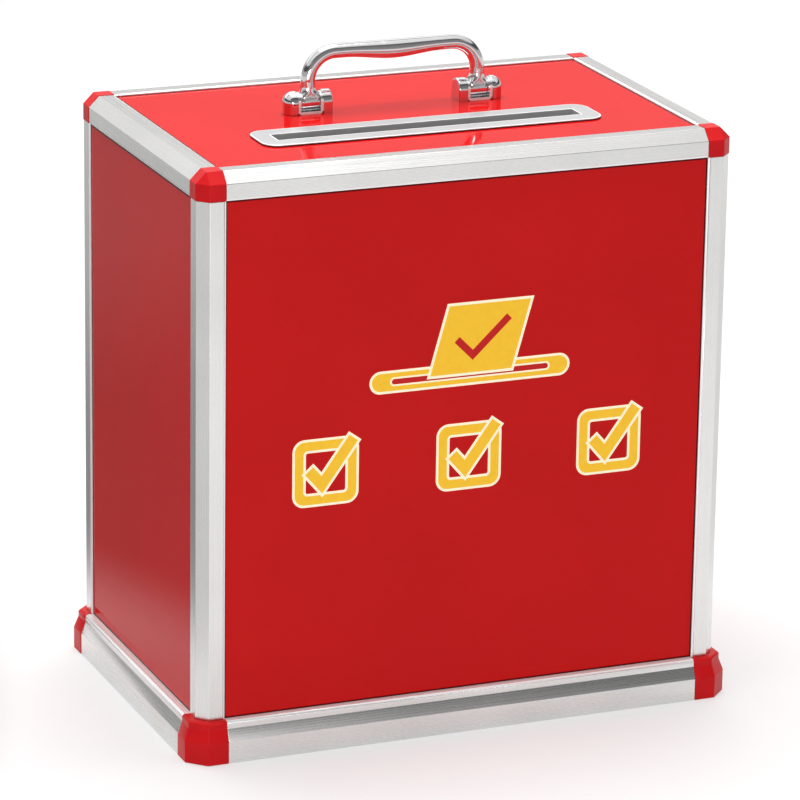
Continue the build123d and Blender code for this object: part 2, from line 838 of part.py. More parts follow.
def lock_housing():
    face_y = door_panel_face_y + lock_flange_thickness
    inner_y = lock_inner_y()
    housing = rod((lock_x, door_panel_face_y, lock_z), (0, 1, 0), lock_flange_radius, lock_flange_thickness)
    housing += rod((lock_x, inner_y, lock_z), (0, 1, 0), lock_body_radius, door_panel_face_y - inner_y)
    bore = lock_barrel_radius + running_clearance
    housing -= rod((lock_x, inner_y - cut_overrun, lock_z), (0, 1, 0), bore, face_y - inner_y + cut_overrun)
    head = lock_head_radius + running_clearance
    housing -= rod((lock_x, face_y, lock_z), (0, -1, 0), head, lock_head_depth)
    return housing


def lock_barrel():
    """Turning barrel with a keyway in its face and a square tang for the cam."""
    head_y = door_panel_face_y + lock_flange_thickness
    shoulder_y = head_y - lock_head_depth + running_clearance
    end_y = cam_face_y() + running_clearance
    barrel = rod((lock_x, shoulder_y, lock_z), (0, 1, 0), lock_head_radius, head_y - shoulder_y)
    barrel += rod((lock_x, end_y, lock_z), (0, 1, 0), lock_barrel_radius, shoulder_y - end_y)
    tang_length = cam_thickness
    barrel += Pos(lock_x, end_y - tang_length / 2, lock_z) * Box(cam_square, tang_length, cam_square)
    barrel -= Pos(lock_x, head_y, lock_z) * Box(keyway_width, keyway_depth * 2, keyway_length)
    start = (lock_x, end_y - tang_length - cut_overrun, lock_z)
    barrel -= rod(start, (0, 1, 0), cam_screw_radius + fixed_clearance, cam_screw_length + cut_overrun)
    return barrel


def cam_face_y():
    """Outer face of the cam, just inside the strip that it locks behind."""
    return stop_face_y - stop_thickness - cam_gap


def lock_cam():
    """Flat cam, hanging down from the barrel when the lock is open."""
    y1 = cam_face_y()
    y0 = y1 - cam_thickness
    half = cam_width / 2
    cam = block(lock_x - half, lock_x + half, y0, y1, lock_z - cam_reach, lock_z)
    cam += rod((lock_x, y0, lock_z), (0, 1, 0), half, cam_thickness)
    hole = cam_square + fixed_clearance * 2
    return cam - Pos(lock_x, y0, lock_z) * Box(hole, cam_thickness * 4, hole)


def cam_screw():
    y = cam_face_y() - cam_thickness
    head_radius = cam_screw_head_radius + cam_screw_radius
    head = rod((lock_x, y, lock_z), (0, -1, 0), head_radius, cam_screw_head_height)
    shank = rod((lock_x, y, lock_z), (0, 1, 0), cam_screw_radius, cam_screw_length - cam_thickness)
    recess = Box(screw_recess_depth, screw_recess_depth * 2, cam_screw_head_radius * 2)
    recess = Pos(lock_x, y - cam_screw_head_height, lock_z) * recess
    return head + shank - recess


def lock_nut():
    start = (lock_x, door_panel_face_y - panel_thickness, lock_z)
    return hexagon_nut(start, (0, -1, 0), lock_nut_size, lock_nut_height, lock_body_radius + fixed_clearance)


def frame_pieces():
    """Posts, rails, corner pieces and fixed panels."""
    pieces = {}
    stop_holes = {name: stop_screw_holes(places) for name, places in stop_screw_places().items()}
    for side, sx in SIDES:
        for end, sy in ENDS:
            pieces[f"post_{end}_{side}"] = placed(post(), sx, sy)
            pieces[f"corner_cap_{end}_{side}"] = placed(corner_cap(), sx, sy)
            pieces[f"corner_foot_{end}_{side}"] = placed(corner_foot(), sx, sy)
        pieces[f"top_rail_{side}"] = placed(left_top_rail(), sx, -1)
        pieces[f"base_rail_{side}"] = placed(left_base_rail(), sx, -1)
        pieces[f"{side}_panel"] = placed(left_panel(), sx, -1)
    for end, sy in ENDS:
        pieces[f"top_rail_{end}"] = placed(front_top_rail(), -1, sy)
        pieces[f"base_rail_{end}"] = placed(front_base_rail(), -1, sy)
    pieces["front_panel"] = front_panel()
    pieces["top_panel"] = top_panel()
    pieces["bottom_panel"] = bottom_panel()
    pieces["post_back_right"] -= hinge_screw_holes(-1)
    pieces["post_back_left"] -= stop_holes["lock_side"]
    pieces["top_rail_back"] -= stop_holes["top"]
    pieces["base_rail_back"] -= stop_holes["bottom"]
    for name, strip in stop_strips().items():
        pieces[f"door_stop_{name}"] = strip - stop_holes[name]
    pieces["door_stop_screws"] = stop_screws()
    return pieces


def slot_pieces():
    return {
        "slot_bezel": slot_bezel(),
        "slot_clamp_frame": clamp_frame(),
        "slot_clamp_screws": clamp_screws(),
    }


def handle_pieces():
    pieces = {
        "handle_bail": handle_bail(),
        "handle_inner_caps": handle_inner_caps(),
        "handle_friction_washers": friction_washers(),
        "handle_nuts": handle_nuts(),
    }
    for side, sx in SIDES:
        turned = -sx
        pieces[f"handle_bracket_{side}"] = placed(handle_bracket(), turned, -1)
        pieces[f"handle_pin_{side}"] = placed(handle_pin(), turned, -1)
        pieces[f"handle_dome_{side}"] = placed(handle_dome(), turned, -1)
    return pieces


def door_pieces():
    pieces = {"door_panel": door_panel()}
    for name, member in door_trims().items():
        pieces[f"door_trim_{name}"] = member
    for place, centre_z in zip(("lower", "upper"), hinge_centres()):
        pieces[f"{place}_hinge_frame_leaf"] = hinge_leaf(-1, centre_z)
        pieces[f"{place}_hinge_door_leaf"] = hinge_leaf(1, centre_z)
        pieces[f"{place}_hinge_pin"] = hinge_pin(centre_z)
    pieces["hinge_frame_screws"] = hinge_screws(-1)
    pieces["hinge_door_screws"] = hinge_screws(1)
    pieces["lock_housing"] = lock_housing()
    pieces["lock_barrel"] = lock_barrel()
    pieces["lock_nut"] = lock_nut()
    pieces["lock_cam"] = lock_cam()
    pieces["lock_cam_screw"] = cam_screw()
    return pieces


def main():
    os.makedirs("parts", exist_ok=True)
    for group in (frame_pieces(), slot_pieces(), handle_pieces(), door_pieces()):
        for name, shape in group.items():
            save(name, shape)


if __name__ == "__main__":
    main()
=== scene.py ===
"""Finishes, printed front and studio for a framed ballot box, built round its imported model."""

import math

import bmesh
import bpy
from bpy.props import FloatProperty, FloatVectorProperty, IntProperty, PointerProperty
from mathutils import Matrix, Vector


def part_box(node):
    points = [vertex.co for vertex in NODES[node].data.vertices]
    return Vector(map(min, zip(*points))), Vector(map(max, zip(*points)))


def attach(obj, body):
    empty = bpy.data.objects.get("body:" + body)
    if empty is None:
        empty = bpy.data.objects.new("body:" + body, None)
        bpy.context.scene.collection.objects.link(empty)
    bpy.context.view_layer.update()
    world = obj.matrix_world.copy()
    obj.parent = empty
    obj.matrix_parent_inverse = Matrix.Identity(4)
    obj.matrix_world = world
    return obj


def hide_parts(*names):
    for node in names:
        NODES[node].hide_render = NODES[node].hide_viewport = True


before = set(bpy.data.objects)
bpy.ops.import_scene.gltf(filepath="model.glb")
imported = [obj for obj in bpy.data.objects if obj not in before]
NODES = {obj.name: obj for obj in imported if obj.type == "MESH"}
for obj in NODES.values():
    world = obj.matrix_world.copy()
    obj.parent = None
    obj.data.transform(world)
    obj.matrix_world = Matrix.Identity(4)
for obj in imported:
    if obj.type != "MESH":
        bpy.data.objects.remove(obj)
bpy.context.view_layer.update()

bl_info = {
    "name": "Ballot Box",
    "version": (1, 0, 0),
    "blender": (4, 5, 0),
    "location": "3D View > Sidebar > Ballot Box",
    "description": "Dresses a framed ballot box: profiles, boards, slot, handle, door, print and studio",
    "category": "Object",
}

MM = 0.001

CORNERS = [f"{end}_{side}" for end in ("front", "back") for side in ("left", "right")]
PROFILES = {
    "z": [f"post_{corner}" for corner in CORNERS],
    "x": ["top_rail_front", "top_rail_back", "base_rail_front", "base_rail_back"],
    "y": ["top_rail_left", "top_rail_right", "base_rail_left", "base_rail_right"],
}
DOOR_STOPS = {"z": ["door_stop_lock_side"], "x": ["door_stop_top", "door_stop_bottom"]}
DOOR_TRIMS = {
    "x": ["door_trim_top", "door_trim_bottom"],
    "z": ["door_trim_lock_side", "door_trim_hinge_side"],
}
BOARDS = {
    "front_panel": "y",
    "left_panel": "x",
    "right_panel": "x",
    "top_panel": "z",
    "bottom_panel": "z",
}
NO_SHADOW_LINE = "plain"

HIGHLIGHT_WHITE = (1, 1, 1)
PAINTED_SHADOW_BLACK = (0.01, 0.01, 0.01)
# Brightness of a board's painted shadow line and of the slot's painted lighter inside, as shares of the
# base colour's
SHADOW_LINE_SHARE, LIT_INSIDE_SHARE = 0.12, 1.3
# Where a painted highlight along an edge starts to fade, as a share of its width
FADE_START = 0.7

WELD = 0.002 * MM
FLAT_ANGLE = math.radians(0.5)
ENDLESS = 1.0

# How far a hub's flare is filled out from round towards square where it leaves the barrel
SQUARENESS = 0.72
FLARE_RINGS, FLARE_SIDES = 14, 96
ROD_STEP = 1.2 * MM
ROD_SIDES, BEND_STEPS = 48, 40
GRIP_SHARPNESS = 50
SWELL_SIDEWAYS = 0.25

# A screw's parts as shares of its head's radius, and its recess's depth as a share of the head's
HEAD_HEIGHT, SHANK_RADIUS, DISH_REACH = 0.58, 0.56, 0.72
RECESS_REACH, RECESS_HALF_WIDTH, RECESS_DEPTH = 0.55, 0.17, 0.62
RECESS_NARROWING = 0.45
SCREW_SIDES = 32

# Bends of the ticks, as shares of the mark's size and of the sign's length
MARK_TICK = ((-0.27, 0.04), (-0.06, -0.2), (0.45, 0.5))
SIGN_TICK = ((-0.07, 0.17), (0.01, 0.09), (0.19, 0.26))

# The mark's corner radii and its tick's width, as shares of its stroke
MARK_CORNER, MARK_HOLE_CORNER, MARK_TICK_WIDTH = 1.1, 0.5, 1.25

# Shares of the sign's length, but for the slot's gap, a share of its width, and the slip's slope
SIGN_SLOT, SIGN_GAP, SIGN_TICK_WIDTH = 0.78, 0.24, 0.035
SLIP_WIDTH, SLIP_HEIGHT, SLIP_LEAN = 0.42, 0.34, 0.28
# Leaves a trace of a straight side between two round corners
NOT_QUITE_ROUND = 1.01

# Brightness of the studio room: over the top from the front horizon (0) to the back horizon (1),
# and up the side walls from the horizon (0) to overhead (1)
ROOM_SCALE = 1.3
ARCH_LEVELS = (
    (0.0, 0.35), (0.05, 0.26), (0.08, 0.21), (0.14, 0.2), (0.2, 0.17), (0.29, 0.03),
    (0.325, 0.8), (0.36, 0.95), (0.55, 0.95), (0.62, 1.1), (0.635, 0.3), (0.69, 0.3),
    (0.70, 1.2), (0.83, 1.35), (0.887, 1.4), (0.9, 0.6), (0.93, 0.42), (1.0, 0.2),
)
WALL_LEVELS = (
    (0.0, 0.5), (0.17, 0.48), (0.2, 0.03), (0.4, 0.03), (0.44, 0.75), (0.7, 0.8), (0.9, 1.1),
    (1.0, 1.15),
)
WALLS_START, WALLS_END = 0.5, 0.85

FLOOR_REACH = 30.0
FLOOR_DROP = 0.05 * MM
# Directions in which the floor's brightness changes: to the back, and to the right for the painted
# shade patch off its left side, which lies at negative distances, and for the one off its right side
BACKWARD = (0.38, 0.925, 0)
PAST_LEFT = (0.955, -0.306, 0)
PAST_RIGHT = (0.893, -0.449, 0)


def colour_of(name, description, default):
    """A colour in linear light."""
    return FloatVectorProperty(
        name=name, description=description, subtype="COLOR", size=3, min=0, max=1,
        default=default)


def size_of(name, description, default):
    """A length in metres."""
    return FloatProperty(name=name, description=description, subtype="DISTANCE", default=default)


def level_of(name, description, default):
    """A power, a share or a strength, never below zero."""
    return FloatProperty(name=name, description=description, min=0, default=default)


def angle_of(name, description, default):
    """An angle in degrees."""
    return FloatProperty(name=name, description=description, default=default)


class BallotBoxColours(bpy.types.PropertyGroup):
    """Colours of the finishes, in linear light."""

    board: colour_of("Board", "Glossy boards of the walls and the lid", (0.68, 0.0095, 0.010))
    moulding: colour_of("Moulding", "Corner caps and feet", (0.70, 0.0085, 0.012))
    aluminium: colour_of(
        "Aluminium", "Anodised corner profiles and door trims", (0.745, 0.74, 0.73))
    silver: colour_of("Silver moulding", "Bezel round the ballot slot", (0.52, 0.52, 0.52))
    chrome: colour_of("Chrome", "Handle and lock", (0.74, 0.74, 0.75))
    zinc: colour_of("Zinc", "Screws, nuts and hinges", (0.62, 0.63, 0.64))
    black: colour_of("Black moulding", "Clamp frame under the slot", (0.025, 0.025, 0.026))
    gold: colour_of("Gold ink", "Fill of the printed sign and marks", (1.0, 0.57, 0.03))
    cream: colour_of("Cream ink", "Outline of the printed sign and marks", (1.0, 0.93, 0.68))
    # Painted light: the inks' emission brightens the print though it is no lamp
    ink_glow: level_of("Ink glow", "How strongly the printed inks give back daylight", 0.18)
    cream_glow: level_of("Cream glow", "The same for the cream outlines", 0.25)


class BallotBoxSizes(bpy.types.PropertyGroup):
    """Sizes of the details that the finish adds."""

    profile_edge: size_of(
        "Profile edge", "Rounding of the extruded profiles' edges", 0.25 * MM)
    moulding_edge: size_of(
        "Moulding edge", "Rounding of the moulded corners' edges", 0.45 * MM)
    board_edge: size_of("Board edge", "Rounding of the boards' edges", 0.3 * MM)
    bezel_edge: size_of("Bezel edge", "Rounding of the bezel's edges", 0.3 * MM)
    cover_edge: size_of("Cover edge", "Rounding of the cast covers' edges", 0.5 * MM)
    ink_height: size_of("Ink height", "How far each layer of the print stands out", 0.06 * MM)
    mark_size: size_of("Mark size", "Outer size of each printed square", 46 * MM)
    mark_stroke: size_of("Mark stroke", "Width of the printed strokes", 6.4 * MM)
    mark_pitch: size_of("Mark pitch", "Distance between the printed squares", 108 * MM)
    mark_count: IntProperty(
        name="Mark count", description="How many squares stand in the row", default=3, min=1)
    mark_centre_x: size_of("Row centre", "Middle of the row, across the front", 2 * MM)
    mark_centre_z: size_of("Row height", "Height of the row's middle above the floor", 204 * MM)
    sign_centre_x: size_of("Sign centre", "Middle of the slot sign, across the front", 2 * MM)
    sign_centre_z: size_of("Sign height", "Height of the oblong ring above the floor", 264.4 * MM)
    sign_length: size_of("Sign length", "Length of the oblong ring", 152 * MM)
    sign_width: size_of("Sign width", "Height of the oblong ring", 16.59 * MM)
    outline: size_of("Outline", "Width of the cream outline", 1.8 * MM)
    rod_radius: size_of("Rod radius", "Radius of the handle's rod", 5.3 * MM)
    shank_x: size_of(
        "Shank distance", "From the box's middle to the middle of each shank", 65.3 * MM)
    bend_radius: size_of("Bend radius", "Radius of the handle's two bends", 20.5 * MM)
    swell_depth: size_of("Swelling", "How far the grip swells below the rod", 3.1 * MM)
    swell_reach: size_of(
        "Swelling reach", "From the grip's middle to the end of the swelling", 38 * MM)
    hub_radius: size_of("Hub radius", "Radius of the barrel at the foot of each shank", 6.0 * MM)
    hub_length: size_of("Hub length", "Length of the barrel at the foot of each shank", 13.6 * MM)
    shoulder_height: size_of(
        "Shoulder height", "From the pivot to the top of each hub's flat front", 5.3 * MM)
    flare_height: size_of(
        "Flare height", "From the pivot to where the shank is as narrow as its rod", 11 * MM)
    taper_height: size_of(
        "Taper height", "From the pivot to where the shank is round again", 14.4 * MM)
    # Painted shadow: width of the dark line along a board's edges, standing in for the shade under the
    # profiles' lip edges
    seam_width: size_of(
        "Seam", "Dark line along a board's edges, where the profiles take it in", 1.3 * MM)
    # Painted highlight: depth of the white band along the feet's front and back edges
    sheared_edge: size_of(
        "Sheared edge", "Depth of the whiter metal along the feet's cut edges", 0.35 * MM)
    # Painted highlight: width of the white band on the profiles' lip edges round each board
    lip_width: size_of("Lip", "Bright edge of the profiles round each board", 1.6 * MM)
    # Painted shadow: height of the black band along the bezel's foot
    bezel_gap: size_of("Bezel gap", "Shadowed foot of the bezel's rim", 0.9 * MM)
    # Painted highlight: width of the white band round the bezel and round its slot
    bezel_rim: size_of(
        "Bezel rim", "Bright edge round the bezel and round its slot", 1.2 * MM)
    bezel_corner: size_of("Bezel corner", "Radius of the bezel's corners", 12 * MM)
    slot_length: size_of("Slot length", "Length of the opening in the bezel", 230 * MM)
    slot_width: size_of("Slot width", "Width of the opening in the bezel", 16 * MM)


class BallotBoxStudio(bpy.types.PropertyGroup):
    """Camera, lamps and surroundings."""

    azimuth: angle_of("Azimuth", "Camera's turn round the box", -22.367)
    elevation: angle_of("Elevation", "Camera's height angle", 17.507)
    roll: angle_of("Roll", "Camera's tilt about its own axis", 0.866)
    distance: size_of("Distance", "From the camera to its target", 3.452853)
    target_side: size_of("Target side", "Target's shift to the camera's right", 0.000631)
    target_height: size_of("Target height", "Height of the camera's target", 0.207902)
    focal_share: level_of(
        "Focal share", "Focal length as a share of the sensor's width", 4752.381 / 800)
    sensor: level_of("Sensor", "Sensor width in millimetres", 36.0)
    overhead_power: level_of("Overhead power", "Soft box above, in watts", 53.0)
    facing_power: level_of("Facing power", "Soft box before the box's front, in watts", 22.0)
    paper: FloatProperty(
        name="Paper", description="Reflectance of the pale floor", default=0.54, min=0, max=1)
    paper_glow: level_of("Paper glow", "Lift that makes the floor read as white", 0.4)
    far_glow: level_of(
        "Far glow", "The same lift well behind the box, where less light falls", 0.5)
    # Painted shade: the shares below darken the floor in patches off the box's sides
    left_front_share: level_of(
        "Left front share", "How bright the floor is off its left side, in front", 0.72)
    left_level_share: level_of(
        "Left level share", "The same off its left side, level with the box", 0.26)
    left_back_share: level_of(
        "Left back share", "The same off its left side, well behind", 0.5)
    right_back_share: level_of(
        "Right back share", "The same off its right side, level with the box", 0.78)


def colours():
    return bpy.context.scene.ballot_colours


def sizes():
    return bpy.context.scene.ballot_sizes


def studio():
    return bpy.context.scene.ballot_studio


# Nodes

def put(tree, value, socket):
    """Sets a socket to a value, or links it to another node's output."""
    if isinstance(value, bpy.types.NodeSocket):
        tree.links.new(value, socket)
    else:
        socket.default_value = value


def add(tree, kind, inputs=(), **settings):
    """A new node with its settings made, then its inputs set or linked."""
    node = tree.nodes.new(kind)
    for name, value in settings.items():
        setattr(node, name, value)
    for label, value in dict(inputs).items():
        put(tree, value, node.inputs[label])
    return node


def math_node(tree, operation, first, second=0):
    return add(tree, "ShaderNodeMath", {0: first, 1: second}, operation=operation).outputs["Value"]


def product(tree, first, second):
    return math_node(tree, "MULTIPLY", first, second)


def vector_node(tree, operation, first, second=(0, 0, 0), result="Vector"):
    node = add(tree, "ShaderNodeVectorMath", {0: first, 1: second}, operation=operation)
    return node.outputs[result]


def distance_along(tree, place, direction):
    """How far a place lies along a direction."""
    return vector_node(tree, "DOT_PRODUCT", place, direction, "Value")


def ranged(tree, value, start, end, low, high, step="SMOOTHSTEP"):
    """A step between two levels, each a number or an output."""
    levels = {"Value": value, "From Min": start, "From Max": end, "To Min": low, "To Max": high}
    return add(tree, "ShaderNodeMapRange", levels, interpolation_type=step).outputs["Result"]


def spread(tree, value, low, high):
    """Maps a noise value from its usual middle band to a range."""
    return ranged(tree, value, 0.3, 0.7, low, high, "LINEAR")


def past_sides(tree, place, middle, half):
    """Along X, Y and Z, how far a place lies past a box's sides; negative inside it."""
    offset = vector_node(tree, "SUBTRACT", place, middle)
    past = vector_node(tree, "SUBTRACT", vector_node(tree, "ABSOLUTE", offset), half)
    return add(tree, "ShaderNodeSeparateXYZ", {"Vector": past}).outputs


def past_box(tree, place, low, high):
    """How far a place lies past the nearest side of an upright box; negative inside it."""
    past = past_sides(tree, place, (low + high) / 2, (high - low) / 2)
    furthest = math_node(tree, "MAXIMUM", past["X"], past["Y"])
    return math_node(tree, "MAXIMUM", furthest, past["Z"])


def past_oblong(tree, place, middle, half, corner):
    """How far a place lies outside an upright rounded oblong; negative inside it."""
    past = past_sides(tree, place, middle, (half.x - corner, half.y - corner, 0))
    outer = {axis: math_node(tree, "MAXIMUM", past[axis], 0) for axis in "XY"}
    joined = add(tree, "ShaderNodeCombineXYZ", outer).outputs["Vector"]
    outside = vector_node(tree, "LENGTH", joined, result="Value")
    inside = math_node(tree, "MINIMUM", math_node(tree, "MAXIMUM", past["X"], past["Y"]), 0)
    return math_node(tree, "SUBTRACT", math_node(tree, "ADD", outside, inside), corner)


def made_once(store, maker, *arguments):
    """What a maker makes under its own name, made the first time that it is asked for."""
    name = "_".join((maker.__name__, *arguments))
    return store.get(name) or maker(name, *arguments)


# Finishes

def finish(maker, *arguments):
    return made_once(bpy.data.materials, maker, *arguments)


class Finish:
    """A principled material in the making, patterned by object coordinates."""

    def __init__(self, name, colour, roughness=0.5, metallic=0.0, specular=0.5):
        self.material = bpy.data.materials.new(name)
        self.material.use_nodes = True
        self.tree = self.material.node_tree
        self.shader = self.tree.nodes["Principled BSDF"]
        self.place = add(self.tree, "ShaderNodeTexCoord").outputs["Object"]
        self.colour = colour
        self.give("Base Color", (*colour, 1))
        self.give("Roughness", roughness)
        self.give("Metallic", metallic)
        self.give("Specular IOR Level", specular)

    def give(self, label, value):
        put(self.tree, value, self.shader.inputs[label])

    def noise(self, scale, detail):
        """Noise in features per metre, stretched where scale gives three numbers."""
        scales = scale if isinstance(scale, list) else [scale] * 3
        mapping = add(self.tree, "ShaderNodeMapping", {"Vector": self.place, "Scale": scales})
        texture = add(self.tree, "ShaderNodeTexNoise", {
            "Vector": mapping.outputs["Vector"], "Scale": 1.0, "Detail": detail})
        return texture.outputs["Fac"]

    def mixed(self, mask, first, second):
        mix = add(self.tree, "ShaderNodeMix", {"Factor": mask, "A": first, "B": second},
                  data_type="RGBA")
        self.give("Base Color", mix.outputs["Result"])

    def vary(self, pattern, low, high):
        """Varies the base colour's brightness between two factors."""
        darker = (*[part * low for part in self.colour], 1)
        lighter = (*[min(1, part * high) for part in self.colour], 1)
        self.mixed(spread(self.tree, pattern, 0, 1), darker, lighter)

    def tint(self, mask, colour):
        """Turns the base colour into another where the mask is one."""
        before = self.shader.inputs["Base Color"].links[0].from_socket
        self.mixed(mask, before, (*colour, 1))

    def roughen(self, pattern, low, high):
        self.give("Roughness", spread(self.tree, pattern, low, high))

    def relief(self, pattern, strength, distance):
        bump = add(self.tree, "ShaderNodeBump", {
            "Strength": strength, "Distance": distance, "Height": pattern})
        self.give("Normal", bump.outputs["Normal"])


def board_opening(across):
    """The opening that a board shows through, made endless along the board's thickness."""
    post_high, base_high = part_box("post_front_left")[1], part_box("base_rail_front")[1]
    low = Vector((post_high.x, post_high.y, base_high.z))
    high = Vector((-post_high.x, -post_high.y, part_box("top_rail_front")[0].z))
    axis = "xyz".index(across)
    low[axis], high[axis] = -ENDLESS, ENDLESS
    return low, high


def seam_opening(across):
    """The same, drawn in or out so that the profiles' lip edges don't hide the painted shadow line."""
    low, high = board_opening(across)
    shadow_width = sizes().seam_width
    if across == "z":
        low.y -= 3 * shadow_width
        low.x += shadow_width
    elif across == "x":
        high.z -= shadow_width
    else:
        high.z -= shadow_width / 3
    return low, high


def anodised_aluminium(name, along):
    """Satin metal with faint die lines along X, Y or Z, and painted highlights on the lip edges round
    the boards.
    """
    metal = Finish(name, colours().aluminium, metallic=1.0)
    tree, lip = metal.tree, sizes().lip_width
    lines = metal.noise([4 if axis == along else 1400 for axis in "xyz"], detail=2)
    metal.vary(metal.noise(14, detail=4), low=0.95, high=1.03)
    lip_highlights = 0
    for across in "xyz".replace(along, ""):
        past = past_box(tree, metal.place, *board_opening(across))
        inner = ranged(tree, past, -lip, 0, 0, 1)
        outer = ranged(tree, past, lip * FADE_START, lip, 1, 0)
        lip_highlights = math_node(tree, "MAXIMUM", product(tree, inner, outer), lip_highlights)
    # Painted highlight: the lip edges turn white and less metallic
    metal.tint(lip_highlights, HIGHLIGHT_WHITE)
    metal.give("Metallic", ranged(tree, lip_highlights, 0, 1, 1, 0.3))
    metal.roughen(lines, low=0.22, high=0.32)
    metal.relief(lines, strength=0.12, distance=0.05 * MM)
    return metal.material


def glossy_red_board(name, across):
    """Clear, very slightly uneven gloss, and a painted shadow line where the profiles take the board in.
    """
    gloss = Finish(name, colours().board, specular=0.075)
    haze = gloss.noise(9, detail=3)
    gloss.vary(haze, low=0.97, high=1.03)
    if across != NO_SHADOW_LINE:
        # Painted shadow: the board darkens to a dark line along its edges, for the shade under the
        # profiles' lip edges
        shadow_width = sizes().seam_width
        past = past_box(gloss.tree, gloss.place, *seam_opening(across))
        shadow = [part * SHADOW_LINE_SHARE for part in gloss.colour]
        gloss.tint(ranged(gloss.tree, past, -shadow_width, -shadow_width / 2, 0, 1), shadow)
    gloss.roughen(haze, low=0.04, high=0.075)
    gloss.relief(gloss.noise(420, detail=2), strength=0.02, distance=0.02 * MM)
    return gloss.material


def moulded_red_plastic(name):
    """Injection-moulded plastic with a fine grain."""
    plastic = Finish(name, colours().moulding, specular=0.14)
    grain = plastic.noise(2600, detail=2)
    plastic.vary(plastic.noise(60, detail=3), low=0.93, high=1.05)
    plastic.roughen(grain, low=0.28, high=0.38)
    plastic.relief(grain, strength=0.1, distance=0.03 * MM)
    return plastic.material


def satin_silver_moulding(name):
    """The bezel's silver-grey, with painted highlights round its rims, a painted shadow along its foot
    and a painted lighter inside.
    """
    satin = Finish(name, colours().silver, roughness=0.38, metallic=0.35, specular=0.4)
    satin.vary(satin.noise(30, detail=3), low=0.96, high=1.04)
    tree, place, props = satin.tree, satin.place, sizes()
    low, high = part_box("slot_bezel")
    middle, half = (low + high) / 2, (high - low) / 2
    slot_half = Vector((props.slot_length / 2, props.slot_width / 2, 0))
    outline = past_oblong(tree, place, middle, half, props.bezel_corner)
    opening = past_oblong(tree, place, middle, slot_half, 0)
    height = distance_along(tree, place, (0, 0, 1))
    rim, foot = props.bezel_rim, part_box("top_panel")[1].z + props.bezel_gap
    raised = ranged(tree, height, high.z - 0.3 * MM, high.z - 0.1 * MM, 0, 1)
    # Painted highlights: white bands round the outer edge and round the slot, on the top face only
    for rim_highlight in (ranged(tree, outline, -rim, -rim * FADE_START, 0, 1),
                     ranged(tree, opening, rim * FADE_START, rim, 1, 0)):
        satin.tint(product(tree, raised, rim_highlight), HIGHLIGHT_WHITE)
    # Painted shadow: a black band along the foot of the bezel's outer side
    outside = ranged(tree, opening, 3 * MM, 4 * MM, 0, 1)
    under = ranged(tree, height, foot - props.bezel_gap / 4, foot, 1, 0)
    satin.tint(product(tree, outside, under), PAINTED_SHADOW_BLACK)
    # Painted light: the slot's inside is lightened above the moulding's colour, as if lit
    inside = ranged(tree, opening, 0, 0.2 * MM, 1, 0)
    satin.tint(inside, [part * LIT_INSIDE_SHARE for part in satin.colour])
    satin.relief(satin.noise(3200, detail=2), strength=0.08, distance=0.03 * MM)
    return satin.material


def plated(name, metallic, low, high):
    """Chrome plating with a faint haze, between two roughnesses."""
    plate = Finish(name, colours().chrome, metallic=metallic)
    haze = plate.noise(70, detail=4)
    plate.vary(haze, low=0.98, high=1.02)
    plate.roughen(haze, low, high)
    return plate.material


def polished_chrome(name):
    return plated(name, 1.0, 0.035, 0.085)


def hazy_chrome(name):
    """Plating of the bail, handled until it is a little hazy."""
    return plated(name, 0.93, 0.05, 0.1)


def satin_plate(name):
    """Plated strip whose front and back edges carry a painted white highlight."""
    plate = Finish(name, colours().chrome, metallic=1.0)
    grain = plate.noise(1200, detail=3)
    plate.vary(grain, low=0.95, high=1.05)
    plate.roughen(grain, low=0.2, high=0.32)
    low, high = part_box("handle_bracket_left")
    depth = sizes().sheared_edge
    sides = past_box(
        plate.tree, plate.place, Vector((-ENDLESS, low.y + depth, -ENDLESS)),
        Vector((ENDLESS, high.y - depth, ENDLESS)))
    # Painted highlight: the strip turns white and barely metallic along its front and back edges
    start = -0.1 * MM
    plate.tint(ranged(plate.tree, sides, start, 0, 0, 1), HIGHLIGHT_WHITE)
    plate.give("Metallic", ranged(plate.tree, sides, start, 0, 1, 0.1))
    return plate.material


def zinc_plated_steel(name):
    """Passivated steel of screws, nuts and hinges."""
    zinc = Finish(name, colours().zinc, metallic=1.0)
    spots = zinc.noise(900, detail=4)
    zinc.vary(spots, low=0.86, high=1.1)
    zinc.roughen(spots, low=0.22, high=0.42)
    zinc.relief(spots, strength=0.06, distance=0.03 * MM)
    return zinc.material


def black_moulding(name):
    plastic = Finish(name, colours().black, roughness=0.5)
    grain = plastic.noise(1800, detail=2)
    plastic.vary(grain, low=0.85, high=1.2)
    plastic.relief(grain, strength=0.15, distance=0.04 * MM)
    return plastic.material


def daylight_ink(name, colour, glow):
    """Screen-printed ink: nearly flat, with the faint unevenness of a printed coat, and a painted glow
    that brightens it though it is no lamp.
    """
    ink = Finish(name, colour, roughness=0.35, specular=0.25)
    # Painted light: emission in the ink's own colour
    ink.give("Emission Color", (*colour, 1))
    ink.give("Emission Strength", glow)
    coat = ink.noise(240, detail=3)
    ink.vary(coat, low=0.94, high=1.04)
    ink.relief(coat, strength=0.05, distance=0.02 * MM)
    return ink.material


def gold_ink(name):
    return daylight_ink(name, colours().gold, colours().ink_glow)


def cream_ink(name):
    return daylight_ink(name, colours().cream, colours().cream_glow)


def red_ink(name):
    return daylight_ink(name, colours().board, 0)


# Meshes

def dress(material, *nodes):
    """Gives carried-over CAD nodes a finish."""
    for node in nodes:
        for slot in NODES[node].material_slots:
            slot.material = material


def linked(name, data):
    """A new object in the scene."""
    item = bpy.data.objects.new(name, data)
    bpy.context.scene.collection.objects.link(item)
    return item


def mesh_of(shape, name):
    """The mesh of a bmesh, which is then freed."""
    mesh = bpy.data.meshes.new(name)
    shape.to_mesh(mesh)
    shape.free()
    return mesh


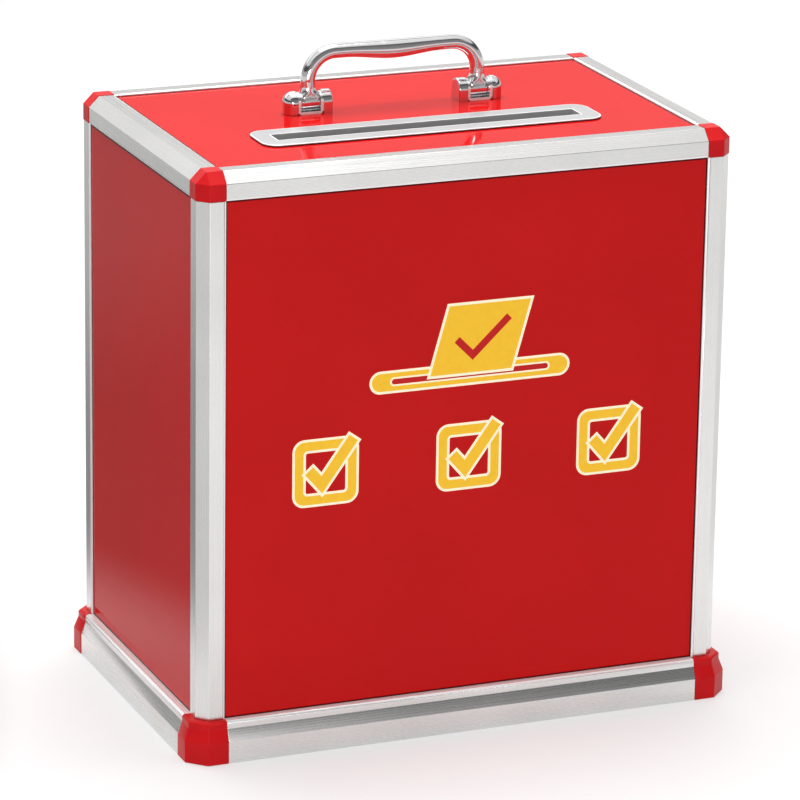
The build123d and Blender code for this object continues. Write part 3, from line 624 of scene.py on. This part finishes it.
def new_piece(name, mesh, material, body):
    """Links a finished mesh as a piece that rides on a body."""
    mesh.name = name
    mesh.materials.clear()
    mesh.materials.append(material)
    piece = linked(name, mesh)
    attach(piece, body)
    return piece


def smooth_by_angle(mesh, degrees=32):
    mesh.shade_smooth()
    mesh.set_sharp_from_angle(angle=math.radians(degrees))


def evaluated_mesh(helper):
    """The mesh that an object's modifiers give; the object itself is then removed."""
    bpy.context.view_layer.update()
    graph = bpy.context.evaluated_depsgraph_get()
    mesh = bpy.data.meshes.new_from_object(helper.evaluated_get(graph), depsgraph=graph)
    bpy.data.objects.remove(helper)
    return mesh


def welded(node):
    """The node's faces, joined at their corners."""
    shape = bmesh.new()
    shape.from_mesh(NODES[node].data)
    bmesh.ops.remove_doubles(shape, verts=shape.verts, dist=WELD)
    return shape


def softened(node, material, body, width, shortest=2.5 * MM, bluntest=20):
    """Replaces a node by a copy with rounded edges, save those too short or too blunt."""
    shape = welded(node)
    bmesh.ops.dissolve_limit(
        shape, angle_limit=FLAT_ANGLE, verts=shape.verts, edges=shape.edges, delimit={"NORMAL"})
    weights = shape.edges.layers.float.new("bevel_weight_edge")
    for edge in shape.edges:
        folded = edge.is_manifold and edge.calc_face_angle() > math.radians(bluntest)
        if folded and edge.calc_length() > shortest:
            edge[weights] = 1.0
    mesh = mesh_of(shape, f"{node}_finished")
    smooth_by_angle(mesh)
    helper = linked("softening", mesh)
    bevel = helper.modifiers.new("Edge", "BEVEL")
    bevel.limit_method = "WEIGHT"
    bevel.width = width
    bevel.segments = 2
    bevel.harden_normals = True
    piece = new_piece(f"{node}_finished", evaluated_mesh(helper), material, body)
    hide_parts(node)


def spun(profile, centre, axis, side, steps):
    """A turned shape: (distance along the axis, radius) pairs spun about the axis."""
    shape = bmesh.new()
    points = [
        shape.verts.new(Vector(centre) + axis * along + side * radius)
        for along, radius in profile]
    edges = [shape.edges.new(pair) for pair in zip(points, points[1:])]
    bmesh.ops.spin(
        shape, geom=points + edges, cent=centre, axis=axis, angle=math.tau, steps=steps,
        use_duplicate=False)
    bmesh.ops.remove_doubles(shape, verts=shape.verts, dist=WELD / 2)
    bmesh.ops.recalc_face_normals(shape, faces=shape.faces)
    return shape


def rounded_corner(centre_along, centre_radius, size, start, end, steps=6):
    """Points of a quarter round in a turned part's profile, from one angle to another."""
    points = []
    for step in range(steps + 1):
        angle = math.radians(start + (end - start) * step / steps)
        points.append((centre_along + size * math.cos(angle),
                       centre_radius + size * math.sin(angle)))
    return points


def squared(wave, share):
    """A sine or cosine whose curve is filled out towards a square as the share nears one."""
    return math.copysign(abs(wave) ** (1 - SQUARENESS * share), wave)


# Geometry node trees

def through_tree(helper, maker, values):
    """Runs a maker's geometry node tree on a helper object and returns the resulting mesh."""
    modifier = helper.modifiers.new("Nodes", "NODES")
    modifier.node_group = made_once(bpy.data.node_groups, maker)
    for item in modifier.node_group.interface.items_tree:
        if item.item_type == "SOCKET" and item.in_out == "INPUT" and item.name in values:
            modifier[item.identifier] = values[item.name]
    return evaluated_mesh(helper)


def new_tree(name, inputs):
    """A geometry node group with a geometry socket each way, named inputs and a finish."""
    tree = bpy.data.node_groups.new(name, "GeometryNodeTree")
    kinds = {"Geometry": "Geometry", **inputs, "Finish": "Material"}
    for label, kind in kinds.items():
        tree.interface.new_socket(label, in_out="INPUT", socket_type=f"NodeSocket{kind}")
    tree.interface.new_socket("Geometry", in_out="OUTPUT", socket_type="NodeSocketGeometry")
    return tree, tree.nodes.new("NodeGroupInput").outputs


def ended(tree, entry, shape):
    """Ends a tree with realised instances and the finish."""
    realise = add(tree, "GeometryNodeRealizeInstances", {"Geometry": shape})
    paint = add(tree, "GeometryNodeSetMaterial", {
        "Geometry": realise.outputs["Geometry"], "Material": entry["Finish"]})
    add(tree, "NodeGroupOutput", {"Geometry": paint.outputs["Geometry"]})
    return tree


def parts_on_places(name):
    """Stands a copy of one part on every point of a mesh, turned one way."""
    tree, entry = new_tree(name, {"Part": "Object", "Turn": "Rotation"})
    part = add(tree, "GeometryNodeObjectInfo", {"Object": entry["Part"]})
    placed = add(tree, "GeometryNodeInstanceOnPoints", {
        "Points": entry["Geometry"], "Instance": part.outputs["Geometry"],
        "Rotation": entry["Turn"]})
    return ended(tree, entry, placed.outputs["Instances"])


def shapes_in_a_row(name):
    """Repeats a flat shape along X at an even pitch, centred on its place."""
    tree, entry = new_tree(name, {"Count": "Int", "Pitch": "Float", "Start": "Vector"})
    offset = add(tree, "ShaderNodeCombineXYZ", {"X": entry["Pitch"]})
    line = add(tree, "GeometryNodeMeshLine", {
        "Count": entry["Count"], "Start Location": entry["Start"],
        "Offset": offset.outputs["Vector"]}, mode="OFFSET")
    placed = add(tree, "GeometryNodeInstanceOnPoints", {
        "Points": line.outputs["Mesh"], "Instance": entry["Geometry"]})
    return ended(tree, entry, placed.outputs["Instances"])


def bent_rod(name):
    """A round rod along a path of straight runs whose corners are bent to one radius."""
    tree, entry = new_tree(name, {
        "Bend Radius": "Float", "Rod Radius": "Float", "Step": "Float"})
    bent = add(tree, "GeometryNodeFilletCurve", {
        "Curve": entry["Geometry"], "Radius": entry["Bend Radius"], "Count": BEND_STEPS},
        mode="POLY")
    even = add(tree, "GeometryNodeResampleCurve", {
        "Curve": bent.outputs["Curve"], "Length": entry["Step"]}, mode="LENGTH")
    section = add(tree, "GeometryNodeCurvePrimitiveCircle", {
        "Resolution": ROD_SIDES, "Radius": entry["Rod Radius"]})
    skin = add(tree, "GeometryNodeCurveToMesh", {
        "Curve": even.outputs["Curve"], "Profile Curve": section.outputs["Curve"],
        "Fill Caps": True})
    return ended(tree, entry, skin.outputs["Mesh"])


# Screws

def solid_boxes(node):
    """Lowest and highest corners of each separate solid of a node, sorted by the lowest."""
    shape = welded(node)
    left = set(shape.verts)
    boxes = []
    while left:
        group = [left.pop()]
        for vert in group:
            for edge in vert.link_edges:
                other = edge.other_vert(vert)
                if other in left:
                    left.discard(other)
                    group.append(other)
        boxes.append(tuple(
            Vector([pick(vert.co[axis] for vert in group) for axis in range(3)])
            for pick in (min, max)))
    shape.free()
    return sorted(boxes, key=lambda box: tuple(box[0]))


def screw_template(radius, length):
    """One countersunk cross-head screw: head top at zero, shank along -Z."""
    head, shank = radius * HEAD_HEIGHT, radius * SHANK_RADIUS
    edge = 0.12 * MM
    dish = 0.1 * MM
    profile = [
        (-dish, 0), (0, radius * DISH_REACH), (0, radius - edge), (-edge, radius),
        (-head, shank), (-length + shank * 0.6, shank), (-length, shank * 0.45), (-length, 0),
    ]
    shape = spun(profile, (0, 0, 0), Vector((0, 0, 1)), Vector((1, 0, 0)), SCREW_SIDES)
    screw = linked("screw_template", mesh_of(shape, "screw_template"))
    cut = screw.modifiers.new("Recess", "BOOLEAN")
    cut.object = cutter = cross_cutter(
        radius * RECESS_REACH, radius * RECESS_HALF_WIDTH, head * RECESS_DEPTH)
    cut.use_self = True
    mesh = evaluated_mesh(screw)
    bpy.data.objects.remove(cutter)
    smooth_by_angle(mesh)
    return linked("screw_template", mesh)


def cross_cutter(reach, half_width, depth):
    """A cross whose arms slope in towards its foot."""
    shape = bmesh.new()
    for turn in (0, math.pi / 2):
        arm = bmesh.ops.create_cube(shape, size=2)["verts"]
        for vert in arm:
            narrowing = 1 if vert.co.z > 0 else RECESS_NARROWING
            vert.co.x *= reach * narrowing
            vert.co.y *= half_width * narrowing
            vert.co.z = depth if vert.co.z > 0 else -depth
        bmesh.ops.rotate(
            shape, verts=arm, cent=(0, 0, 0), matrix=Matrix.Rotation(turn, 3, "Z"))
    return linked("cross_cutter", mesh_of(shape, "cross_cutter"))


def screws_for(node, body, direction):
    """Replaces a group of plain screws; direction points out of their heads."""
    out = Vector(direction)
    axis = max(range(3), key=lambda i: abs(out[i]))
    boxes = solid_boxes(node)
    places = []
    for low, high in boxes:
        head = (low + high) / 2
        head[axis] = high[axis] if out[axis] > 0 else low[axis]
        places.append(head)
    low, high = boxes[0]
    radius = max(high[i] - low[i] for i in range(3) if i != axis) / 2
    template = screw_template(radius, high[axis] - low[axis])
    mesh = bpy.data.meshes.new("screw_places")
    mesh.from_pydata(places, [], [])
    zinc = finish(zinc_plated_steel)
    turn = out.to_track_quat("Z", "Y").to_euler()
    result = through_tree(linked("screw_places", mesh), parts_on_places, {
        "Part": template, "Turn": turn, "Finish": zinc})
    bpy.data.objects.remove(template)
    piece = new_piece(f"{node}_finished", result, zinc, body)
    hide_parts(node)


# Printed front

def scaled(points, size):
    return [Vector(point) * size for point in points]


def stroke_outline(points, width):
    """Closed outline of a bent stroke with square ends."""
    left, right = [], []
    last = len(points) - 1
    for index, point in enumerate(points):
        before = (point - points[index - 1]).normalized() if index else None
        after = (points[index + 1] - point).normalized() if index < last else None
        along = ((before or after) + (after or before)).normalized()
        side = Vector((-along.y, along.x))
        lean = side.dot(Vector((-(after or before).y, (after or before).x)))
        left.append(point + side * width / 2 / lean)
        right.append(point - side * width / 2 / lean)
    return left + right[::-1]


def rounded_rectangle(width, height, radius, steps=8):
    """Closed outline of a rectangle with round corners, about zero."""
    outline = []
    corners = ((1, 1, 0), (-1, 1, 90), (-1, -1, 180), (1, -1, 270))
    for x_side, y_side, start in corners:
        centre = Vector((x_side * (width / 2 - radius), y_side * (height / 2 - radius)))
        for step in range(steps + 1):
            angle = math.radians(start + 90 * step / steps)
            outline.append(centre + Vector((math.cos(angle), math.sin(angle))) * radius)
    return outline


def slip_outline(width, height, lean):
    """A ballot slip that leans to one side, cut off level at the slot."""
    corners = ((-width / 2, 0), (width / 2, 0), (width / 2, height), (-width / 2, height))
    return [Vector((x + y * lean, y)) for x, y in corners]


def ticked_square():
    """Outlines of a round-cornered square frame and of a tick that breaks out of it."""
    size, stroke = sizes().mark_size, sizes().mark_stroke
    hole = size - 2 * stroke
    square = [
        rounded_rectangle(size, size, stroke * MARK_CORNER),
        rounded_rectangle(hole, hole, stroke * MARK_HOLE_CORNER),
    ]
    return square, [stroke_outline(scaled(MARK_TICK, size), stroke * MARK_TICK_WIDTH)]


def flat_shape(outlines, grow, thickness):
    """A thin filled plate from closed outlines in the XY plane; holes are inner outlines."""
    curve = bpy.data.curves.new("flat_shape", "CURVE")
    curve.dimensions = "2D"
    curve.fill_mode = "BOTH"
    curve.extrude = thickness / 2
    curve.offset = grow
    for outline in outlines:
        spline = curve.splines.new("POLY")
        spline.points.add(len(outline) - 1)
        for point, place in zip(spline.points, outline):
            point.co = (place[0], place[1], 0, 1)
        spline.use_cyclic_u = True
    return evaluated_mesh(linked("flat_shape", curve))


def printed_plate(outlines, grow, layer, x, z):
    """One layer of ink, upright on the front board; grow widens its outlines."""
    thickness = sizes().ink_height
    plate = flat_shape(outlines, grow, thickness)
    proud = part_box("front_panel")[0].y - thickness * (layer + 0.5)
    upright = Matrix.Rotation(math.pi / 2, 4, "X")
    plate.transform(Matrix.Translation((x, proud, z)) @ upright)
    return plate


# Operators

class BALLOTBOX_OT_profiles(bpy.types.Operator):
    """Rounds the edges of the aluminium profiles and gives them their anodised finish"""

    bl_idname = "ballotbox.profiles"
    bl_label = "Aluminium profiles"

    def execute(self, context):
        width = sizes().profile_edge
        for axis, nodes in PROFILES.items():
            for node in nodes:
                metal = finish(anodised_aluminium, axis)
                softened(node, metal, "frame", width)
        for axis, nodes in DOOR_STOPS.items():
            dress(finish(anodised_aluminium, axis), *nodes)
        return {"FINISHED"}


class BALLOTBOX_OT_corners(bpy.types.Operator):
    """Rounds the moulded corner caps and feet and gives them their plastic finish"""

    bl_idname = "ballotbox.corners"
    bl_label = "Corner mouldings"

    def execute(self, context):
        width = sizes().moulding_edge
        for part in ("cap", "foot"):
            for corner in CORNERS:
                softened(f"corner_{part}_{corner}", finish(moulded_red_plastic), "frame",
                         width)
        return {"FINISHED"}


class BALLOTBOX_OT_boards(bpy.types.Operator):
    """Rounds the boards' edges and gives them their gloss"""

    bl_idname = "ballotbox.boards"
    bl_label = "Boards"

    def execute(self, context):
        width = sizes().board_edge
        for node, across in BOARDS.items():
            softened(node, finish(glossy_red_board, across), "frame", width)
        softened("door_panel", finish(glossy_red_board, NO_SHADOW_LINE), "door", width)
        return {"FINISHED"}


class BALLOTBOX_OT_slot(bpy.types.Operator):
    """Finishes the ballot slot's bezel, its clamp frame and its screws"""

    bl_idname = "ballotbox.slot"
    bl_label = "Ballot slot"

    def execute(self, context):
        softened("slot_bezel", finish(satin_silver_moulding), "frame",
                 sizes().bezel_edge, shortest=4 * MM, bluntest=60)
        dress(finish(black_moulding), "slot_clamp_frame")
        screws_for("slot_clamp_screws", "frame", (0, 0, -1))
        return {"FINISHED"}


class BALLOTBOX_OT_handle(bpy.types.Operator):
    """Makes the bent rod handle with its swelling, its hubs, feet, pins and domed caps"""

    bl_idname = "ballotbox.handle"
    bl_label = "Carrying handle"

    def execute(self, context):
        low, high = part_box("handle_bail")
        dome_low, dome_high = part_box("handle_dome_right")
        pivot = Vector((0, (dome_low.y + dome_high.y) / 2, low.z + sizes().hub_radius))
        self.bail(high, pivot)
        self.hubs(high, pivot)
        self.feet()
        return {"FINISHED"}

    def chromed(self, name, mesh):
        return new_piece(name, mesh, finish(hazy_chrome), "handle")

    def bail(self, high, pivot):
        """The rod along its path, swollen on the underside of the grip."""
        props = sizes()
        rod, reach = props.rod_radius, props.shank_x
        grip_z = high.z - rod
        path = bpy.data.curves.new("bail_path", "CURVE")
        path.dimensions = "3D"
        spline = path.splines.new("POLY")
        spline.points.add(3)
        corners = ((-reach, pivot.z), (-reach, grip_z), (reach, grip_z), (reach, pivot.z))
        for point, (x, z) in zip(spline.points, corners):
            point.co = (x, pivot.y, z, 1)
        mesh = through_tree(linked("bail_path", path), bent_rod, {
            "Bend Radius": props.bend_radius, "Rod Radius": rod, "Step": ROD_STEP,
            "Finish": finish(hazy_chrome)})
        for vert in mesh.vertices:
            along = vert.co.x / props.swell_reach
            if abs(along) < 1 and vert.co.z > grip_z - rod * 1.5:
                swell = props.swell_depth * math.cos(math.pi / 2 * along) ** 2
                below = 0.5 - 0.5 * (vert.co.z - grip_z) / rod
                vert.co.z -= swell * below
                vert.co.y += (vert.co.y - pivot.y) * swell / rod * SWELL_SIDEWAYS
        smooth_by_angle(mesh, GRIP_SHARPNESS)
        bail = self.chromed("handle_bail_finished", mesh)
        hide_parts("handle_bail")

    def hubs(self, high, pivot):
        """Barrels round the pins, each drawn up into its shank by a hollow flare."""
        props = sizes()
        radius, edge = props.hub_radius, props.cover_edge
        outer = high.x
        inner = outer - props.hub_length
        profile = (
            [(inner, 0)]
            + rounded_corner(inner + edge, radius - edge, edge, 180, 90)
            + rounded_corner(outer - edge, radius - edge, edge, 90, 0)
            + [(outer, 0)]
        )
        for side, name in ((-1, "left"), (1, "right")):
            axis = Vector((side, 0, 0))
            barrel = spun(profile, pivot, axis, axis.orthogonal().normalized(), steps=64)
            mesh = mesh_of(barrel, "hub")
            smooth_by_angle(mesh)
            self.chromed(f"handle_hub_{name}", mesh)
            self.flare(name, side, (inner + outer) / 2, pivot)

    def flare(self, name, side, barrel_x, pivot):
        """Lofted rings: straight up from the barrel to its shoulder, then in to the shank."""
        props = sizes()
        rod, hub = props.rod_radius, props.hub_radius
        shoulder, top, tapered = props.shoulder_height, props.flare_height, props.taper_height
        heights = [0, shoulder / 2]
        heights += [
            shoulder + (top - shoulder) * ring / FLARE_RINGS for ring in range(FLARE_RINGS + 1)]
        heights += [(top + tapered) / 2, tapered]
        shape = bmesh.new()
        loops = []
        for height in heights:
            rise = min(1, max(0, (height - shoulder) / (top - shoulder)))
            narrowing = (1 - rise) ** 2
            wide = rod + (props.hub_length / 2 - props.cover_edge - rod) * narrowing
            deep = hub + (rod - hub) * height / tapered
            centre_x = side * (props.shank_x + (barrel_x - props.shank_x) * narrowing)
            loop = []
            for step in range(FLARE_SIDES):
                angle = math.tau * step / FLARE_SIDES
                loop.append(shape.verts.new((
                    centre_x + wide * squared(math.cos(angle), narrowing),
                    pivot.y + deep * squared(math.sin(angle), narrowing),
                    pivot.z + height,
                )))
            loops.append(loop)
        for lower, upper in zip(loops, loops[1:]):
            for step in range(FLARE_SIDES):
                after = (step + 1) % FLARE_SIDES
                shape.faces.new((lower[step], lower[after], upper[after], upper[step]))
        shape.faces.new(loops[0][::-1])
        shape.faces.new(loops[-1])
        bmesh.ops.recalc_face_normals(shape, faces=shape.faces)
        mesh = mesh_of(shape, "flare")
        smooth_by_angle(mesh, GRIP_SHARPNESS)
        self.chromed(f"handle_flare_{name}", mesh)

    def feet(self):
        edge = sizes().cover_edge
        for name in ("left", "right"):
            softened(f"handle_bracket_{name}", finish(satin_plate), "frame",
                     edge, shortest=0.8 * MM, bluntest=40)
            softened(f"handle_dome_{name}", finish(polished_chrome), "frame",
                     edge, shortest=0.2 * MM, bluntest=50)
        dress(finish(polished_chrome), "handle_pin_left", "handle_pin_right", "handle_inner_caps")
        dress(finish(zinc_plated_steel), "handle_friction_washers", "handle_nuts")


class BALLOTBOX_OT_door(bpy.types.Operator):
    """Finishes the rear door's trims, hinges, stops and lock"""

    bl_idname = "ballotbox.door"
    bl_label = "Rear door"

    def execute(self, context):
        for axis, nodes in DOOR_TRIMS.items():
            for node in nodes:
                metal = finish(anodised_aluminium, axis)
                softened(node, metal, "door", sizes().profile_edge)
        zinc = finish(zinc_plated_steel)
        for place in ("lower", "upper"):
            for part in ("frame_leaf", "door_leaf", "pin"):
                dress(zinc, f"{place}_hinge_{part}")
        screws_for("hinge_frame_screws", "frame", (0, 1, 0))
        screws_for("hinge_door_screws", "door", (0, 1, 0))
        screws_for("door_stop_screws", "frame", (0, -1, 0))
        dress(finish(polished_chrome), "lock_housing", "lock_barrel")
        dress(zinc, "lock_nut", "lock_cam", "lock_cam_screw")
        return {"FINISHED"}


class BALLOTBOX_OT_print(bpy.types.Operator):
    """Prints the slot sign and the row of ticked squares on the front board"""

    bl_idname = "ballotbox.print"
    bl_label = "Front print"

    def execute(self, context):
        self.marks()
        self.sign()
        return {"FINISHED"}

    def marks(self):
        """Layers of the row of marks, each repeated at the row's pitch."""
        props = sizes()
        square, tick = ticked_square()
        half_row = props.mark_pitch * (props.mark_count - 1) / 2
        start = (props.mark_centre_x - half_row, 0, props.mark_centre_z)
        layers = (
            ("mark_square_outlines", square, props.outline, cream_ink),
            ("mark_squares", square, 0, gold_ink),
            ("mark_tick_outlines", tick, props.outline, cream_ink),
            ("mark_ticks", tick, 0, gold_ink),
        )
        for layer, (name, outlines, grow, ink) in enumerate(layers):
            mark = linked("mark", printed_plate(outlines, grow, layer, 0, 0))
            mesh = through_tree(mark, shapes_in_a_row, {
                "Count": props.mark_count, "Pitch": props.mark_pitch, "Start": start,
                "Finish": finish(ink)})
            new_piece(name, mesh, finish(ink), "frame")

    def sign(self):
        """A slip going into an oblong slot, layer upon layer."""
        props = sizes()
        edge, length, width = props.outline, props.sign_length, props.sign_width
        gap = width * SIGN_GAP
        ring = rounded_rectangle(
            length - 2 * edge, width - 2 * edge, width / 2 - edge * NOT_QUITE_ROUND, steps=16)
        hole = rounded_rectangle(length * SIGN_SLOT, gap, gap / 2 / NOT_QUITE_ROUND, steps=12)
        slip = slip_outline(length * SLIP_WIDTH, length * SLIP_HEIGHT, SLIP_LEAN)
        tick = stroke_outline(scaled(SIGN_TICK, length), length * SIGN_TICK_WIDTH)
        layers = (
            ("sign_ring_outline", ring, edge, cream_ink),
            ("sign_ring", ring, 0, gold_ink),
            ("sign_slot_outline", hole, edge * 0.7, cream_ink),
            ("sign_slot", hole, 0, red_ink),
            ("sign_slip_outline", slip, edge * 0.5, cream_ink),
            ("sign_slip", slip, -edge * 0.6, gold_ink),
            ("sign_tick", tick, 0, red_ink),
        )
        for layer, (name, outline, grow, ink) in enumerate(layers):
            plate = printed_plate(
                [outline], grow, layer, props.sign_centre_x, props.sign_centre_z)
            new_piece(name, plate, finish(ink), "frame")


class BALLOTBOX_OT_studio(bpy.types.Operator):
    """Sets the pale floor, the soft lamps, the surroundings and the camera"""

    bl_idname = "ballotbox.studio"
    bl_label = "Studio"

    def execute(self, context):
        self.floor()
        self.lamps()
        self.surroundings()
        self.camera()
        context.scene.view_settings.view_transform = "Standard"
        return {"FINISHED"}

    def floor(self):
        sides = ((-1, -1), (1, -1), (1, 1), (-1, 1))
        corners = [(x * FLOOR_REACH, y * FLOOR_REACH, 0) for x, y in sides]
        mesh = bpy.data.meshes.new("studio_floor")
        mesh.from_pydata(corners, [], [range(len(corners))])
        mesh.materials.append(self.floor_finish())
        floor = linked("studio_floor", mesh)
        floor.location.z = -FLOOR_DROP

    def floor_finish(self):
        """Pale paper, lifted to white where the camera or a polished surface sees it, and darkened in
        painted shade patches off the box's sides.
        """
        props = studio()
        material = bpy.data.materials.new("studio_paper")
        material.use_nodes = True
        tree = material.node_tree
        tree.nodes.clear()
        place = add(tree, "ShaderNodeTexCoord").outputs["Object"]
        sides = self.falling_off(tree, place)
        away = distance_along(tree, place, BACKWARD)
        lift = ranged(tree, away, 0.2, 2.0, props.paper_glow, props.far_glow)
        paper = add(tree, "ShaderNodeBsdfDiffuse", {"Color": product(tree, sides, props.paper)})
        glow = add(tree, "ShaderNodeEmission", {"Strength": product(tree, sides, lift)})
        both = add(tree, "ShaderNodeAddShader", {
            0: paper.outputs["BSDF"], 1: glow.outputs["Emission"]})
        mix = add(tree, "ShaderNodeMixShader", {
            0: self.seen_directly(tree), 1: paper.outputs["BSDF"], 2: both.outputs["Shader"]})
        add(tree, "ShaderNodeOutputMaterial", {"Surface": mix.outputs["Shader"]})
        return material

    def seen_directly(self, tree):
        """One for camera, glossy and transmission rays, and zero for the rest."""
        rays = add(tree, "ShaderNodeLightPath").outputs
        polished = math_node(tree, "MAXIMUM", rays["Is Glossy Ray"], rays["Is Transmission Ray"])
        return math_node(tree, "MAXIMUM", rays["Is Camera Ray"], polished)

    def falling_off(self, tree, place):
        """One round the box, sinking in two bounded patches of painted shade, left and right of the
        view.

        Each step lies between two distances in metres from the middle of the box's underside.
        """
        props = studio()
        to_left = distance_along(tree, place, PAST_LEFT)
        to_right = distance_along(tree, place, PAST_RIGHT)
        behind = distance_along(tree, place, (0, 1, 0))
        left_back = ranged(tree, behind, 1.6, 2.6, props.left_back_share, 1)
        left_level = ranged(tree, behind, 0.6, 1.3, props.left_level_share, left_back)
        left_front = ranged(tree, behind, -1.6, -0.8, 1, props.left_front_share)
        left_patch = ranged(tree, behind, -0.3, 0.1, left_front, left_level)
        left_share = ranged(tree, to_left, -2.0, -1.2, 1, left_patch)
        right_patch = ranged(tree, to_right, 0.9, 1.4, props.right_back_share, 1)
        right_share = ranged(tree, behind, -0.2, 0.0, 1, right_patch)
        left = ranged(tree, to_left, -0.38, -0.27, left_share, 1)
        right = ranged(tree, to_right, 0.33, 0.48, 1, right_share)
        return product(tree, left, right)

    def lamp(self, name, place, target, width, height, power):
        data = bpy.data.lights.new(name, "AREA")
        data.shape = "RECTANGLE"
        data.size = width
        data.size_y = height
        data.energy = power
        lamp = linked(name, data)
        lamp.location = place
        lamp.rotation_mode = "QUATERNION"
        lamp.rotation_quaternion = (Vector(target) - Vector(place)).to_track_quat("-Z", "Y")

    def lamps(self):
        self.lamp("overhead_box", place=(0, 0.35, 2.7), target=(0, 0, 0.3), width=1.6,
                  height=1.6, power=studio().overhead_power)
        self.lamp("facing_box", place=(-1.1, -2.8, 0.35), target=(0, 0, 0.2), width=0.6,
                  height=0.5, power=studio().facing_power)

    def surroundings(self):
        """A grey room: darker bands low in front, bright boards above, pale walls behind."""
        world = bpy.data.worlds.new("studio_room")
        bpy.context.scene.world = world
        world.use_nodes = True
        tree = world.node_tree
        tree.nodes.clear()
        direction = add(tree, "ShaderNodeTexCoord").outputs["Generated"]
        split = add(tree, "ShaderNodeSeparateXYZ", {"Vector": direction}).outputs
        forward = product(tree, split["Y"], -1)
        turn = math_node(tree, "ARCTAN2", split["Z"], forward)
        over_the_top = math_node(tree, "DIVIDE", turn, math.pi)
        sideways = math_node(tree, "ABSOLUTE", split["X"])
        room = add(tree, "ShaderNodeMix", {
            "Factor": ranged(tree, sideways, WALLS_START, WALLS_END, 0, 1),
            "A": self.ramp(tree, over_the_top, ARCH_LEVELS),
            "B": self.ramp(tree, split["Z"], WALL_LEVELS)}, data_type="RGBA")
        air = add(tree, "ShaderNodeBackground", {
            "Color": room.outputs["Result"], "Strength": ROOM_SCALE})
        add(tree, "ShaderNodeOutputWorld", {"Surface": air.outputs["Background"]})

    def ramp(self, tree, value, stops):
        """Grey levels against a value from zero to one."""
        ramp = add(tree, "ShaderNodeValToRGB", {"Fac": value})
        elements = ramp.color_ramp.elements
        while len(elements) < len(stops):
            elements.new(0.5)
        for element, (position, level) in zip(elements, stops):
            element.position = position
            element.color = (*[level / ROOM_SCALE] * 3, 1)
        return ramp.outputs["Color"]

    def camera(self):
        props = studio()
        azimuth, elevation, roll = (
            math.radians(angle) for angle in (props.azimuth, props.elevation, props.roll))
        back = Vector((
            math.sin(azimuth) * math.cos(elevation),
            -math.cos(azimuth) * math.cos(elevation),
            math.sin(elevation),
        ))
        right = (-back).cross(Vector((0, 0, 1))).normalized()
        up = right.cross(-back)
        target = right * props.target_side + Vector((0, 0, props.target_height))
        rolled_right = right * math.cos(roll) + up * math.sin(roll)
        rolled_up = up * math.cos(roll) - right * math.sin(roll)
        data = bpy.data.cameras.new("studio_camera")
        data.sensor_width = props.sensor
        data.lens = props.sensor * props.focal_share
        data.clip_start, data.clip_end = 0.1, 200
        camera = linked("studio_camera", data)
        turn = Matrix((rolled_right, rolled_up, back)).transposed().to_4x4()
        camera.matrix_world = Matrix.Translation(target + back * props.distance) @ turn
        bpy.context.scene.camera = camera


class BALLOTBOX_PT_sidebar(bpy.types.Panel):
    """Lists the parts of the ballot box that can be made"""

    bl_idname = "BALLOTBOX_PT_sidebar"
    bl_label = "Ballot Box"
    bl_space_type = "VIEW_3D"
    bl_region_type = "UI"
    bl_category = "Ballot Box"

    def draw(self, context):
        for operator in OPERATORS:
            self.layout.operator(operator.bl_idname, text=operator.bl_label)
        for group in GROUPS:
            values = getattr(context.scene, group)
            box = self.layout.box()
            for name in values.__annotations__:
                box.prop(values, name)


OPERATORS = (
    BALLOTBOX_OT_profiles,
    BALLOTBOX_OT_corners,
    BALLOTBOX_OT_boards,
    BALLOTBOX_OT_slot,
    BALLOTBOX_OT_handle,
    BALLOTBOX_OT_door,
    BALLOTBOX_OT_print,
    BALLOTBOX_OT_studio,
)
GROUPS = {
    "ballot_colours": BallotBoxColours,
    "ballot_sizes": BallotBoxSizes,
    "ballot_studio": BallotBoxStudio,
}
CLASSES = (*GROUPS.values(), *OPERATORS, BALLOTBOX_PT_sidebar)


def register():
    for item in CLASSES:
        bpy.utils.register_class(item)
    for name, group in GROUPS.items():
        setattr(bpy.types.Scene, name, PointerProperty(type=group))


def unregister():
    for name in GROUPS:
        delattr(bpy.types.Scene, name)
    for item in reversed(CLASSES):
        bpy.utils.unregister_class(item)


def main():
    register()
    bpy.ops.ballotbox.profiles()
    bpy.ops.ballotbox.corners()
    bpy.ops.ballotbox.boards()
    bpy.ops.ballotbox.slot()
    bpy.ops.ballotbox.handle()
    bpy.ops.ballotbox.door()
    bpy.ops.ballotbox.print()
    bpy.ops.ballotbox.studio()


if __name__ == "__main__":
    main()
